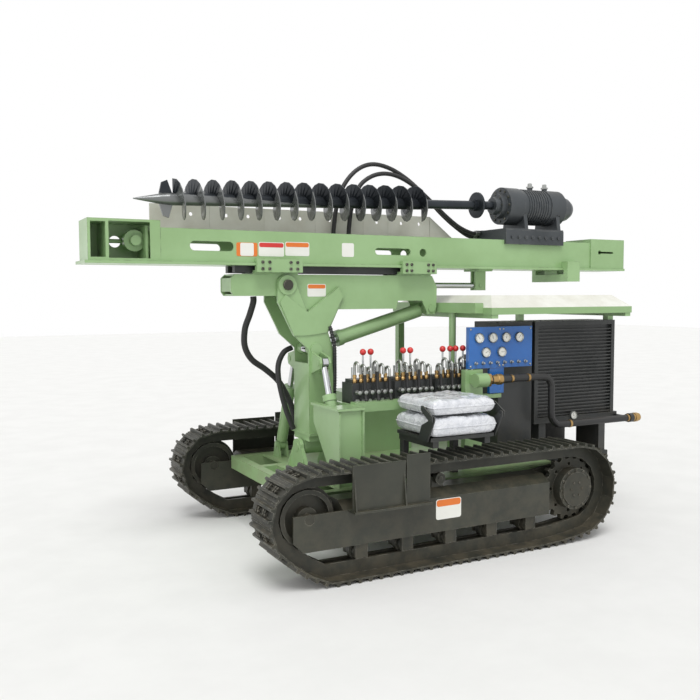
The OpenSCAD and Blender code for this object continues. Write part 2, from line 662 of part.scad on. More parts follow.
// Post and boom
module post() {
    neck = 1240;
    // Outline of a cheek as [x, z]: neck, front arm over the pivot, notch, rear arm
    cheek = [[COLUMN[1], 660], [COLUMN[1], neck], [705, 1330], [812, 1540], [pivot_x + 65, pivot_z + 7],
        [pivot_x + 59, pivot_z + 32], [pivot_x + 47, pivot_z + 48], [pivot_x + 24, pivot_z + 61],
        [pivot_x, pivot_z + 64], [pivot_x - 46, pivot_z + 52], [610, 1478], [385, 1640], [350, 1575], [388, 1500], [465, 1345], [COLUMN[0], neck],
        [COLUMN[0], 660]];
    lug_z = [TILT_EYE[1] - 45, TILT_EYE[1] + 45];
    lug_gap = 22;
    color(GREEN) rig() difference() {
        union() {
            both_sides() {
                side_plate(cheek, [cheek_y - cheek_t, cheek_y]);
                // Doubler along the notch
                side_plate([[602, 1330], [705, 1330], [800, 1540], [760, 1590], [610, 1478], [392, 1632], [360, 1575],
                    [396, 1504], [476, 1345]], [cheek_y - 1, cheek_y + 8]);
                // Lugs of the tilting cylinder's rod
                for (s = [-1, 1]) cross_plate([[cheek_y - 2, lug_z[0] - 30], [TILT_EYE[0] + 20, lug_z[0] + 10],
                    [TILT_EYE[0] + 32, TILT_EYE[1]], [TILT_EYE[0] + 20, lug_z[1] - 10], [cheek_y - 2, lug_z[1] + 20]],
                    [tilt_x + s * (lug_gap + 8) - 8, tilt_x + s * (lug_gap + 8) + 8]);
                rod_x([tilt_x - lug_gap - 20, tilt_x + lug_gap + 20], TILT_EYE[0], TILT_EYE[1], small_pin);
                rod_y(pivot_x, [cheek_y - 1, cheek_y + 10], pivot_z, 62);
            }
            // Column between the cheeks, its foot and its collar
            box([COLUMN[0], COLUMN[0] + 12], [-cheek_y + 1, cheek_y - 1], [660, column_top]);
            box([COLUMN[1] - 12, COLUMN[1]], [-cheek_y + 1, cheek_y - 1], [660, column_top]);
            box([COLUMN[0], COLUMN[1]], [-cheek_y + 1, cheek_y - 1], [column_top - 12, column_top]);
            box([COLUMN[0] - 4, COLUMN[1] + 4], [-cheek_y - 54, cheek_y + 16], [684, 700]);
            box([COLUMN[0], COLUMN[1]], [-cheek_y, cheek_y], [648, 690]);
            rod_x([COLUMN[0], COLUMN[1]], 0, tilt_z, 48);
            box([COLUMN[0], COLUMN[1]], [-48, 48], [tilt_z, 660]);
            // Pin of the boom, and the bosses beside the boom cylinder's rod eye
            rod_y(pivot_x, [-cheek_y - 4, cheek_y + 4], pivot_z, pivot_r);
            both_sides() rod_y(EYE[0], [eye_w / 2 + swing_gap, cheek_y + 10], EYE[1], 40);
        }
        rod_x([COLUMN[0] - 1, COLUMN[1] + 1], 0, tilt_z, 30 + pin_gap);
    }
}
module boom_beam() {
    y = [beam_y - beam_t, beam_y];
    lower = [[beam_front - 18, 1580], [beam_front, 1604], [beam_front, 1690], [beam_front - 26, beam_top],
        [beam_rear, beam_top], [beam_rear - 40, 1640], [PITCH_PIN[0] - 42, PITCH_PIN[1] + 10],
        [PITCH_PIN[0] - 28, PITCH_PIN[1] - 38], [PITCH_PIN[0] + 28, PITCH_PIN[1] - 38], [-262, 1545],
        [-70, 1545], [-56, 1492], [650, 1492], [760, 1580]];
    color(GREEN) rig() difference() {
        union() {
            both_sides() side_plate(lower, y);
            box([beam_rear, beam_front - 26], [-beam_y + 1, beam_y - 1], [beam_top - beam_t, beam_top]);
            box([beam_front - 14, beam_front - 2], [-beam_y + 1, beam_y - 1], [1606, 1690]);
            box([860, beam_front - 18], [-beam_y + 1, beam_y - 1], [1580, 1592]);
            rod_y(pivot_x, [-beam_y, beam_y], pivot_z, pivot_r + 19);
            rod_y(PITCH_PIN[0], [-beam_y - 6, beam_y + 6], PITCH_PIN[1], small_pin + 5);
            // Barrel of the mast-sliding cylinder, with its carrier plates
            rod_x([slide_mouth, 560], 0, slide_z, slide_r);
            for (x = [-300, 480]) box([x, x + 14], [-beam_y + 1, beam_y - 1], [slide_z - 25, beam_top - 2]);
        }
        rod_y(pivot_x, [-beam_y - 1, beam_y + 1], pivot_z, pivot_r + pin_gap);
        rod_x([slide_mouth - 1, 520], 0, slide_z, 20 + pin_gap);
    }
}
flange_y = mast_w / 2 + 20;
module mast_guides() {
    y_in = mast_w / 2 + 3;
    y_out = flange_y + 22;
    color(GREEN) rig() for (x = guide_x) {
        both_sides() difference() {
            box(x, [y_in, y_out], [beam_top + 10, mast_z + 42]);
            box([x[0] - 1, x[1] + 1], [y_in - 1, flange_y + 2], [mast_z - 4, mast_z + 21]);
        }
        both_sides() box(x, [94, y_in + 1], [beam_top + 10, beam_top + 24]);
        both_sides() box(x, [beam_y - 11, beam_y], [beam_top + seat_gap, beam_top + 12]);
        box(x, [-38, 38], [beam_top + seat_gap, beam_top + 24]);
        both_sides() box(x, [37, 95], [beam_top + seat_gap, beam_top + 8]);
    }
}
module slide_rails() {
    color(BLACK) rig() both_sides() difference() {
        box([beam_rear, beam_front - 30], [42, beam_y - 12], [beam_top + 8 + seat_gap, rail_top]);
    }
}

// Mast
module slot(x, z, r) {
    hull() for (px = x) rod_y(px, [-mast_w, mast_w], z, r);
}
module mast() {
    x_box = 1540;
    z_mid = mast_z + mast_h / 2 + 4;
    color(GREEN) rig() {
        difference() {
            union() {
                both_sides() {
                    box([mast_rear, x_box], [mast_w / 2 - mast_t, mast_w / 2], [mast_z, mast_top]);
                    // Top ledge that the carriage runs on
                    box([mast_rear, x_box], [52, mast_w / 2 - 1], [mast_top - 10, mast_top]);
                }
                box([mast_rear, mast_front], [-flange_y, flange_y], [mast_z, mast_z + 17]);
                // Raised rear box
                both_sides() box([mast_rear, -1749], [mast_w / 2 - 4, mast_w / 2 + 8], [mast_z + 16, mast_top + 28]);
                box([mast_rear, -1749], [-mast_w / 2 - 7, mast_w / 2 + 7], [mast_top - 2, mast_top + 28]);
                box([mast_rear, mast_rear + 12], [-mast_w / 2 - 7, mast_w / 2 + 7], [mast_z + 16, mast_top + 28]);
                // Lug of the sliding cylinder's rod
                both_sides() box([slide_eye_x - 45, slide_eye_x + 45], [16, 30], [slide_z - 34, mast_z + 1]);
                box([slide_eye_x - 60, slide_eye_x + 60], [-90, 90], [mast_z - 14, mast_z + 1]);
                // Foot that rests over the column behind
                box([-1585, -1465], [-198, 198], [1680, 1735]);
                box([-1570, -1480], [-70, 70], [1734, mast_z + 1]);
                both_sides() box([-1585, -1465], [156, 198], [1734, mast_z + 1]);
                both_sides() box([-1585, -1465], [mast_w / 2 - 1, 198], [mast_z, mast_z + 62]);
            }
            // Openings in the side plates: front slot, rear slot, round hole, keyhole slot
            for (s = [-1, 1]) {
                for (o = [[1126, 1340, 1876, 28], [-126, 102, 1870, 22]])
                    translate([0, s * mast_w / 2, 0]) {
                        for (px = [o[0], o[1]]) rod_y(px, [-20, 20], o[2], o[3]);
                        box([o[0], o[1]], [-20, 20], [o[2] - o[3], o[2] + o[3]]);
                    }
                translate([0, s * mast_w / 2, 0]) rod_y(-246, [-20, 20], 1868, 27);
                translate([0, s * mast_w / 2, 0]) rod_y(-1840, [-20, 20], 1903, 16);
                translate([0, s * mast_w / 2, 0]) box([-1980, -1840], [-20, 20], [1896, 1910]);
            }
        }
        // Pin of the rod's eye
        rod_y(slide_eye_x, [-34, 34], slide_z, 14);
    }
}
module mast_foot() {
    x = [1540 + seat_gap, mast_front - 20];
    z0 = mast_z + 17 + seat_gap;
    color(GREEN) rig() {
        // Far wall, near wall behind the window, top plate and end block
        difference() {
            union() {
                both_sides() box(x, [mast_w / 2 - 10, mast_w / 2], [z0, foot_top]);
                box(x, [-mast_w / 2, mast_w / 2], [foot_top - 12, foot_top]);
                box([1832, x[1]], [-mast_w / 2, mast_w / 2], [z0, foot_top]);
                box([x[0], x[0] + 12], [-mast_w / 2 + 1, mast_w / 2 - 1], [z0, z0 + 60]);
            }
            box([1600, 1832], [mast_w / 2 - 40, mast_w / 2 + 1], [z0 + 14, foot_top - 14]);
            box([1850, x[1] - 16], [-mast_w / 2 + 10, mast_w / 2 + 1], [z0 + 18, foot_top - 18]);
            rod_y(1748, [-mast_w / 2 - 1, -mast_w / 2 + 20], 1902, 34);
        }
        // Chain wheel on its shaft, and its tensioner
        rod_y(1664, [-mast_w / 2 + 9, 60], 1902, 30);
        rod_y(1664, [-30, 20], 1902, 62);
        rod_x([1664, 1833], -70, 1902, 12);
        box([1600, 1616], [-mast_w / 2 + 9, mast_w / 2 - 45], [z0 + 8, foot_top - 30]);
    }
}
module hose_tray() {
    // Sheet-steel channel along the far side, in lengths, cut back at its rear end
    y = [-238, -226];
    joints = [1512, 1130, 760, 390, 20, -180, -530];
    color(CREAM) rig() {
        for (k = [0 : len(joints) - 2]) difference() {
            box([joints[k + 1] + 1, joints[k]], y, [tray_z - 1, 2150]);
            for (x = [joints[k] - 110 : -150 : joints[k + 1] + 60]) rod_y(x, [y[0] - 1, y[1] + 1], 2095, 12);
        }
        box([-820, 1512], [-238, -mast_w / 2 - 20], [tray_z - 6, tray_z]);
        side_plate([[-531, tray_z - 2], [-820, tray_z - 2], [-531, 2150]], y);
        // Brackets from the mast's side
        for (x = [1420, 900, 380, -140, -700])
            box([x, x + 40], [-mast_w / 2 - 23, -mast_w / 2 - seat_gap], [tray_z - 40, tray_z]);
    }
}
module slide_rod() {
    eye = 15;
    color(STEEL) rig() {
        rod_x([slide_eye_x + 50, 40], 0, slide_z, 20);
        difference() {
            union() {
                rod_y(slide_eye_x, [-eye, eye], slide_z, 32);
                box([slide_eye_x, slide_eye_x + 52], [-eye, eye], [slide_z - 18, slide_z + 18]);
            }
            rod_y(slide_eye_x, [-eye - 1, eye + 1], slide_z, 14 + pin_gap);
        }
    }
}

// Rotary head on its carriage
carriage_x = [-1462, -930];
module head_carriage() {
    z = [mast_top + 1, mast_top + 82];
    color(BLACK) rig() {
        box(carriage_x, [-150, 150], z);
        // Cheeks over the mast's top edge
        both_sides() box(carriage_x, [mast_w / 2 + 3, mast_w / 2 + 24], [mast_top - 30, z[1] - 10]);
        box([carriage_x[0] + 40, carriage_x[1] - 40], [-40, 40], [mast_top - 40, mast_top + 2]);
        // Bolt heads in two rows along each cheek
        both_sides() for (k = [0 : 7])
            rod_y(carriage_x[0] + 50 + k * 61, [mast_w / 2 + 23, mast_w / 2 + 34], mast_top + 20, 11);
        // Upright plates that carry the head
        for (x = [[-1455, -1425], [-1150, -1120]]) cross_plate([[-130, z[1] - 1], [130, z[1] - 1], [110, head_z - 60],
            [-110, head_z - 60]], x);
        // Bulkhead for the feed hoses on the far side
        box([-960, -930], [-206, -128], [mast_top + 20, mast_top + 84]);
    }
}
module rotary_head() {
    // Turned body as [x, radius], from the tail to the nose
    profile = [[-1636, 0], [-1636, 62], [-1600, 84], [-1510, 112], [-1510, head_r + 4], [-1372, head_r + 4],
        [-1372, head_r - 2], [-1122, head_r - 2], [-1122, head_r + 6], [-992, head_r + 6], [-992, 92], [-950, 88],
        [-950, 66], [nose_x - 12, 58], [nose_x - 12, 0]];
    color([0.27, 0.29, 0.31]) rig() difference() {
        union() {
            translate([0, 0, head_z]) rotate([0, 90, 0]) rotate_extrude($fn = 72)
                polygon([for (p = profile) [p[1], p[0]]]);
            // Oil ports on top of the motor
            for (x = [-1440, -1300]) rod_z(x, -40, [head_z + 90, head_z + 150], 20);
        }
        box([-1700, -900], [-200, 200], [head_z - 300, mast_top + 83]);
        for (x = [[-1456, -1424], [-1151, -1119]]) cross_plate([[-140, mast_top], [140, mast_top], [140, head_z - 59.5],
            [-140, head_z - 59.5]], x);
    }
}
// Along +Z from the coupling towards the auger's tip
module drooped() {
    translate([nose_x, 0, head_z]) rotate([0, 90 + droop, 0]) children();
}
auger_l = 2570;
flight_end = 2330;
flight_start = flight_end - flight_turns * flight_pitch;
module auger() {
    bit_z = flight_end + 30;
    color(BLACK) rig() drooped() {
        // Coupling, disc, shaft, core and point
        translate([0, 0, seat_gap - 11]) cylinder(h = 71, r = 30);
        translate([0, 0, 58]) cylinder(h = 60, r1 = 34, r2 = 50);
        translate([0, 0, 116]) cylinder(h = 14, r = 92);
        translate([0, 0, 100]) cylinder(h = 60, r = 40);
        translate([0, 0, 120]) cylinder(h = flight_start - 100, r = 31);
        translate([0, 0, flight_start - 20]) cylinder(h = bit_z - flight_start + 20, r = core_r);
        translate([0, 0, bit_z]) cylinder(h = 60, r1 = core_r, r2 = 30);
        translate([0, 0, bit_z + 60]) cylinder(h = auger_l - bit_z - 60, r1 = 30, r2 = 3);
        // Fishtail cutters
        for (s = [0, 180]) rotate([0, 0, s]) rotate([90, 0, 0]) translate([0, 0, -9]) linear_extrude(18)
            polygon([[30, bit_z - 22], [112, bit_z + 6], [98, bit_z + 40], [30, bit_z + 58]]);
    }
}
module auger_flight() {
    steps = 16;
    n = round(flight_turns * steps);
    t = 9;
    // Corners stand off so that the flats between them clear the core
    inner = core_r / cos(180 / steps) + 0.1;
    function corner(i, r, dz) = [r * cos(i * 360 / steps), r * sin(i * 360 / steps),
        flight_start + i * flight_pitch / steps + dz];
    points = [for (i = [0 : n]) each [corner(i, inner, -t / 2), corner(i, flight_r, -t / 3),
        corner(i, flight_r, t / 3), corner(i, inner, t / 2)]];
    walls = [for (i = [0 : n - 1], k = [0 : 3]) let (a = 4 * i + k, b = 4 * i + (k + 1) % 4)
        each [[a, b + 4, b], [a, a + 4, b + 4]]];
    color(BLACK) rig() drooped()
        polyhedron(points, concat([[0, 1, 2, 3]], walls, [[4 * n + 3, 4 * n + 2, 4 * n + 1, 4 * n]]), convexity = 20);
}

// Cylinders: barrels from their closed end's eye, rods from their own eye
module barrel(length, r, rod_r, eye_r, eye_w, pin_r) {
    difference() {
        union() {
            rotate([0, 90, 0]) cylinder(h = eye_w, r = eye_r, center = true);
            cylinder(h = eye_r + 12, r = min(eye_r * 0.7, eye_w / 2 - 2));
            translate([0, 0, eye_r + 4]) cylinder(h = length - eye_r - 4, r = r);
            translate([0, 0, length - 40]) cylinder(h = 40, r = r + 6);
        }
        rotate([0, 90, 0]) cylinder(h = eye_w + 2, r = pin_r + pin_gap, center = true);
        translate([0, 0, eye_r + 40]) cylinder(h = length, r = rod_r + pin_gap);
    }
}
// The rod's eye is cut open on the side away from the barrel, where the linkage is opened
module rod(length, rod_r, eye_r, eye_w, pin_r) {
    difference() {
        union() {
            rotate([0, 90, 0]) cylinder(h = eye_w, r = eye_r, center = true);
            cylinder(h = length, r = rod_r);
        }
        rotate([0, 90, 0]) cylinder(h = max(eye_w, 2 * rod_r) + 2, r = pin_r, center = true);
    }
}
function at_pitch(p) = [p[0], 0, p[1]];
module pitch_barrel() {
    color(GREEN) rig() aim(at_pitch(PITCH_PIN), at_pitch(EYE)) rotate([0, 0, 90])
        barrel(pitch_len - 205, pitch_r, 28, 44, 70, small_pin + 5);
}
module pitch_rod() {
    color(STEEL) rig() aim(at_pitch(EYE), at_pitch(PITCH_PIN)) rotate([0, 0, 90])
        rod(pitch_len - 140, 28, 40, eye_w, small_pin + 5);
}
module tilt_barrel(s) {
    color(GREEN) rig() mirror([0, s < 0 ? 1 : 0, 0])
        aim([tilt_x, TILT_FOOT[0], TILT_FOOT[1]], [tilt_x, TILT_EYE[0], TILT_EYE[1]]) rotate([0, 0, 90])
            barrel(tilt_len - 210, tilt_r, 20, 36, 40, small_pin);
}
module tilt_rod(s) {
    color(STEEL) rig() mirror([0, s < 0 ? 1 : 0, 0])
        aim([tilt_x, TILT_EYE[0], TILT_EYE[1]], [tilt_x, TILT_FOOT[0], TILT_FOOT[1]]) rotate([0, 0, 90])
            rod(tilt_len - 200, 20, small_pin + 4 + 12, 36, small_pin + 4);
}

deck_frame();
cross_beams();
track_frame("left");  // track_frame_left
track_frame("right");  // track_frame_right
track("left");  // track_left
track("right");  // track_right
running_gear("left");  // running_gear_left
running_gear("right");  // running_gear_right
drive("left");  // drive_left
drive("right");  // drive_right
step_brackets();
post_stand();
engine_block();
cooler();
control_cabinet();
oil_tank();
canopy();
canopy_posts();
gauge_panel();
console_frame();
valve_bank();
valve_levers();
seat_base();
seat_cushion();
seat_back();
seat_arms();
color(BLACK) rig() hose(AIR_PIPE, 24, sides = 12);  // air_pipe
air_fittings();
post();
boom_beam();
mast_guides();
slide_rails();
slide_rod();
mast();
mast_foot();
hose_tray();
head_carriage();
rotary_head();
auger();
auger_flight();
pitch_barrel();
pitch_rod();
tilt_barrel(1);  // tilt_barrel_near
tilt_rod(1);  // tilt_rod_near
tilt_barrel(-1);  // tilt_barrel_far
tilt_rod(-1);  // tilt_rod_far
color(BLACK) rig() hose(FEED_LONG, 15);  // feed_hose_long
color(BLACK) rig() hose(FEED_SHORT, 15);  // feed_hose_short
color(BLACK) rig() hose(POST_HOSE, 20);  // post_hose
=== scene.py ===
# %% [markdown]
# # A crawler drilling rig, dressed in Blender
# The machine carries a four metre mast on a tilting post. An auger hangs from a rotary head that runs along the mast,
# and a grown operator sits beside a bank of levers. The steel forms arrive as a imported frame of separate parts. This
# lesson gives each one its paint or metal and adds the hoses, cushions, knobs, dials, bolts and blank plates.

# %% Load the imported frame
import json
import math
import bpy
import bmesh
import numpy as np
from mathutils import Matrix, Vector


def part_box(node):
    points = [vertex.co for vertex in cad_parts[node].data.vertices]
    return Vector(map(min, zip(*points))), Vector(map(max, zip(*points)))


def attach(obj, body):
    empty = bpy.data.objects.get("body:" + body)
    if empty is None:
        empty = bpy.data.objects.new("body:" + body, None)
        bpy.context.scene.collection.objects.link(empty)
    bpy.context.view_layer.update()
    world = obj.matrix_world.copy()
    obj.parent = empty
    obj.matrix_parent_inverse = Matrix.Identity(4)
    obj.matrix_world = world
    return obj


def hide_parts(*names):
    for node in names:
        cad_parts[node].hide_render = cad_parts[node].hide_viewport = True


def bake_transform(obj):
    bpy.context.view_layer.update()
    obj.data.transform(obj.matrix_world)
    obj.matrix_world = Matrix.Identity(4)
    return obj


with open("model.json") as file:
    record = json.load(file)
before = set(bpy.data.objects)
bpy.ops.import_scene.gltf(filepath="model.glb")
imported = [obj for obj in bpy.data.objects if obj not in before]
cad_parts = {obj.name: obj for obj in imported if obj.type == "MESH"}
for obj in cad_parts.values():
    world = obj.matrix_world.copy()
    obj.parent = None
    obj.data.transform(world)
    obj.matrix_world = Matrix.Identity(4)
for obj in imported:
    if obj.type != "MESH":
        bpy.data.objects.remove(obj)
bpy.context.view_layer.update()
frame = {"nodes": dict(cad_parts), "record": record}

# Places below are measured from the middle of the tracks; the frame's own origin lies a little behind it.
MAST_REAR = -2.091
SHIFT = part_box("mast")[0][0] - MAST_REAR


def at(*xyz):
    """Points measured from the tracks' middle, in metres, moved along X to the frame's origin."""
    return np.asarray(xyz if len(xyz) == 3 else xyz[0], float) + np.array([SHIFT, 0, 0])


# %% [markdown]
# ## Camera
# A photograph fixes a camera by its place, its turn and its lens. The lens comes as focal length over picture width,
# and the turn as yaw, pitch and roll. Three unit vectors made from the angles (right, up, back) are the columns of
# the camera's matrix, which says more plainly than Euler angles what the camera looks at.

# %% Camera
YAW, PITCH, ROLL = 0.4824453, 0.0662370, -0.00287776
FOCAL, PICTURE, SENSOR = 820.9627, 700, 36
STANDPOINT = (2.78146, 4.84254, 1.58078)
ahead = np.array([-math.sin(YAW) * math.cos(PITCH), -math.cos(YAW) * math.cos(PITCH), -math.sin(PITCH)])
right = np.array([-math.cos(YAW), math.sin(YAW), 0.0])
upward = np.cross(right, ahead)
right, upward = (math.cos(ROLL) * right + math.sin(ROLL) * upward, math.cos(ROLL) * upward - math.sin(ROLL) * right)
camera_data = bpy.data.cameras.new("camera")
camera_data.sensor_width = SENSOR
camera_data.lens = FOCAL / PICTURE * SENSOR
camera_data.clip_end = 100
camera = bpy.data.objects.new("camera", camera_data)
bpy.context.scene.collection.objects.link(camera)
turn = np.eye(4)
turn[:3, 0], turn[:3, 1], turn[:3, 2], turn[:3, 3] = right, upward, -ahead, at(*STANDPOINT)
camera.matrix_world = Matrix(turn.tolist())
bpy.context.scene.camera = camera
print("lens", round(camera_data.lens, 2), "mm from", np.round(turn[:3, 3], 3).tolist())

# %% [markdown]
# ## Shapes as functions
# Every added piece is a surface worked out with numpy: a grid of points whose rows and columns are two parameters. A
# round piece turns a profile about a line, a hose carries a circle along a path. Whole arrays do the work, so one
# call makes a single bolt or four hundred.

# %% Grids, turned shapes and tubes
def quads(rows, columns, around=True):
    """Faces of a grid whose point (i, j) has the number i * columns + j; around joins the last column to the first."""
    i = np.arange(rows - 1)[:, None]
    j = np.arange(columns if around else columns - 1)[None, :]
    j2 = (j + 1) % columns
    corner = [i * columns + j, i * columns + j2, (i + 1) * columns + j2, (i + 1) * columns + j]
    return np.stack(np.broadcast_arrays(*corner), axis=-1).reshape(-1, 4)


def turned(profile, sides=24):
    """Point (i, j) = (r_i cos a_j, r_i sin a_j, h_i): a profile of heights and radii turned about Z, with flat ends."""
    h, r = np.asarray(profile, float).T
    a = np.arange(sides) * 2 * math.pi / sides
    p = np.stack([np.outer(r, np.cos(a)), np.outer(r, np.sin(a)), np.repeat(h[:, None], sides, 1)], axis=-1)
    ends = [list(range(sides))[::-1], [(len(h) - 1) * sides + k for k in range(sides)]]
    return p.reshape(-1, 3), quads(len(h), sides).tolist() + ends


def bar(profile, low, high):
    """A closed outline of (x, y) points carried straight along Z from low to high, with flat ends."""
    xy = np.asarray(profile, float)
    n = len(xy)
    p = np.concatenate([np.c_[xy, np.full(n, low)], np.c_[xy, np.full(n, high)]])
    return p, quads(2, n).tolist() + [list(range(n))[::-1], list(range(n, 2 * n))]


def tube(path, radius, side=(0, 1, 0), sides=16):
    """Point (i, j) = path_i + r_i (cos a_j N_i + sin a_j B_i), where T is the path's direction, N = T x side and
    B = T x N."""
    p = np.asarray(path, float)
    t = np.gradient(p, axis=0)
    t /= np.linalg.norm(t, axis=1, keepdims=True)
    n = np.cross(t, side)
    n /= np.linalg.norm(n, axis=1, keepdims=True)
    b = np.cross(t, n)
    a = np.arange(sides) * 2 * math.pi / sides
    r = np.broadcast_to(radius, len(p))[:, None, None]
    ring = np.cos(a)[None, :, None] * n[:, None] + np.sin(a)[None, :, None] * b[:, None]
    last = (len(p) - 1) * sides
    return (p[:, None] + r * ring).reshape(-1, 3), \
        quads(len(p), sides).tolist() + [list(range(sides))[::-1], list(range(last, last + sides))]


def curve(points, steps=8):
    """Catmull-Rom: between knots p1 and p2, p = (2 p1 + (p2 - p0) t + (2 p0 - 5 p1 + 4 p2 - p3) t^2 +
    (3 p1 - p0 - 3 p2 + p3) t^3) / 2, with the two end knots repeated."""
    p = np.asarray(points, float)
    p = np.concatenate([p[:1], p, p[-1:]])
    t = (np.arange(steps) / steps)[None, :, None]
    a, b, c, d = (p[k:len(p) - 3 + k, None] for k in range(4))
    q = (2 * b + (c - a) * t + (2 * a - 5 * b + 4 * c - d) * t ** 2 + (3 * b - a - 3 * c + d) * t ** 3) / 2
    return np.concatenate([q.reshape(-1, 3), p[-1:]])


def placed(shape, spots, along=(0, 0, 1)):
    """Copies of a shape whose Z axis points along each direction: P = spot + x X + y Y + z Z."""
    v, f = shape
    s = np.atleast_2d(np.asarray(spots, float))
    z = np.broadcast_to(np.asarray(along, float), s.shape)
    z = z / np.linalg.norm(z, axis=1, keepdims=True)
    other = np.where(np.abs(z[:, 2:]) > 0.9, [[1.0, 0, 0]], [[0, 0, 1.0]])
    x = np.cross(other, z)
    x /= np.linalg.norm(x, axis=1, keepdims=True)
    y = np.cross(z, x)
    p = s[:, None] + v[None, :, :1] * x[:, None] + v[None, :, 1:2] * y[:, None] + v[None, :, 2:] * z[:, None]
    return p.reshape(-1, 3), [[q + k * len(v) for q in face] for k in range(len(s)) for face in f]


print("helpers ready:", len(turned([(0, 1), (1, 1)])[0]), "points in a plain turned ring pair")


# %% [markdown]
# ## From arrays to a riding piece
# A mesh takes its points and faces straight from the arrays. Then the piece rides on the steel body it is bolted to.
# A hose that joins two moving bodies rides on neither.

# %% Dress a piece
def piece(name, shapes, material, body=None, smooth=True, sharp=35):
    """Joins shapes into one mesh, outside faces out, and hangs it on its body."""
    points, faces, n = [], [], 0
    for v, f in shapes:
        points.append(v)
        faces += [[q + n for q in face] for face in f]
        n += len(v)
    mesh = bpy.data.meshes.new(name)
    mesh.from_pydata(np.concatenate(points).tolist(), [], faces)
    work = bmesh.new()
    work.from_mesh(mesh)
    bmesh.ops.recalc_face_normals(work, faces=work.faces)
    work.to_mesh(mesh)
    work.free()
    if smooth:
        mesh.shade_smooth()
        mesh.set_sharp_from_angle(angle=math.radians(sharp))
    mesh.materials.append(material)
    made = bpy.data.objects.new(name, mesh)
    bpy.context.scene.collection.objects.link(made)
    if body:
        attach(made, body)
    print(name, "faces", len(mesh.polygons))
    return made


# %% [markdown]
# ## Nodes in a few words
# A finish is a small network. One helper places a node, another joins colours, so that each recipe further down reads
# as a list of what the surface has.

# %% Node helpers
def put(tree, kind, sockets=(), **settings):
    """Places a node, applies its settings, and links or sets each named or numbered input."""
    n = tree.nodes.new(kind)
    for key, value in settings.items():
        setattr(n, key, value)
    for key, value in dict(sockets).items():
        if isinstance(value, bpy.types.NodeSocket):
            tree.links.new(value, n.inputs[key])
        else:
            n.inputs[key].default_value = value
    return n


def math_node(tree, operation, *values, clamp=False):
    """One sum, product or other operation on numbers or sockets."""
    return put(tree, "ShaderNodeMath", enumerate(values), operation=operation, use_clamp=clamp).outputs[0]


def ramp(tree, value, low, high):
    """0 below low, 1 above high, and an S-shaped rise between them."""
    return put(tree, "ShaderNodeMapRange", {"Value": value, "From Min": low, "From Max": high},
               interpolation_type="SMOOTHSTEP").outputs[0]


def mix(tree, factor, a, b):
    """Colour a where the factor is 0, and b where it is 1."""
    n = tree.nodes.new("ShaderNodeMix")
    n.data_type = "RGBA"
    for k, value in ((0, factor), (6, a), (7, b)):
        if isinstance(value, bpy.types.NodeSocket):
            tree.links.new(value, n.inputs[k])
        else:
            n.inputs[k].default_value = value
    return n.outputs[2]


def rgb(r, g, b):
    """A screen colour of 0 to 255 as the linear light that a shader wants."""
    c = np.array([r, g, b]) / 255
    return (*np.where(c < 0.04045, c / 12.92, ((c + 0.055) / 1.055) ** 2.4).tolist(), 1.0)


def effect(name, inputs, outputs):
    """An empty shader node group with named number, colour and vector sockets."""
    tree = bpy.data.node_groups.new(name, "ShaderNodeTree")
    kinds = {"n": "NodeSocketFloat", "c": "NodeSocketColor", "v": "NodeSocketVector"}
    for label, kind, value in inputs:
        made = tree.interface.new_socket(label, in_out="INPUT", socket_type=kinds[kind])
        if value is not None:
            made.default_value = value
    for label, kind in outputs:
        tree.interface.new_socket(label, in_out="OUTPUT", socket_type=kinds[kind])
    return tree, tree.nodes.new("NodeGroupInput").outputs, tree.nodes.new("NodeGroupOutput")


# %% [markdown]
# ## Four effects that every finish shares
# Sprayed paint has an orange-peel skin and drifts a little in tone. Dust settles low on the machine and on faces that
# look up. Handling leaves long thin scuffs. Edges are rubbed first, and a bevel node finds them: it rounds the normal
# within a few millimetres, and where that differs from the true normal there is an edge. Each effect is one node
# group with named inputs, so a material only states its own amounts.

# %% Effect: paint skin
skin_effect, i_, o_ = effect("paint_skin", [("Vector", "v", None), ("Grain", "n", 320.0), ("Drift", "n", 2.5)],
                             [("Height", "n"), ("Tone", "n")])
fine = put(skin_effect, "ShaderNodeTexNoise", {"Vector": i_["Vector"], "Scale": i_["Grain"], "Detail": 2.0})
slow = put(skin_effect, "ShaderNodeTexNoise", {"Vector": i_["Vector"], "Scale": i_["Drift"], "Detail": 5.0,
                                              "Roughness": 0.6})
skin_effect.links.new(fine.outputs[0], o_.inputs["Height"])
skin_effect.links.new(ramp(skin_effect, slow.outputs[0], 0.3, 0.7), o_.inputs["Tone"])

# %% Effect: settled dust
dust_effect, i_, o_ = effect("settled_dust", [("Vector", "v", None), ("Top", "n", 1.0), ("Low", "n", 0.6),
                                              ("Ledges", "n", 0.3)], [("Mask", "n")])
height = put(dust_effect, "ShaderNodeSeparateXYZ", {0: i_["Vector"]}).outputs[2]
facing = put(dust_effect, "ShaderNodeSeparateXYZ", {0: put(dust_effect, "ShaderNodeNewGeometry").outputs["Normal"]})
patch = put(dust_effect, "ShaderNodeTexNoise", {"Vector": i_["Vector"], "Scale": 9.0, "Detail": 6.0, "Roughness": 0.7})
near_ground = math_node(dust_effect, "SUBTRACT", 1.0, math_node(dust_effect, "DIVIDE", height, i_["Top"]), clamp=True)
low = math_node(dust_effect, "MULTIPLY", near_ground, i_["Low"])
ledge = math_node(dust_effect, "MULTIPLY", ramp(dust_effect, facing.outputs[2], 0.5, 0.95), i_["Ledges"])
both = math_node(dust_effect, "ADD", low, ledge)
dust_effect.links.new(math_node(dust_effect, "MULTIPLY", both, ramp(dust_effect, patch.outputs[0], 0.32, 0.66),
                                clamp=True), o_.inputs["Mask"])

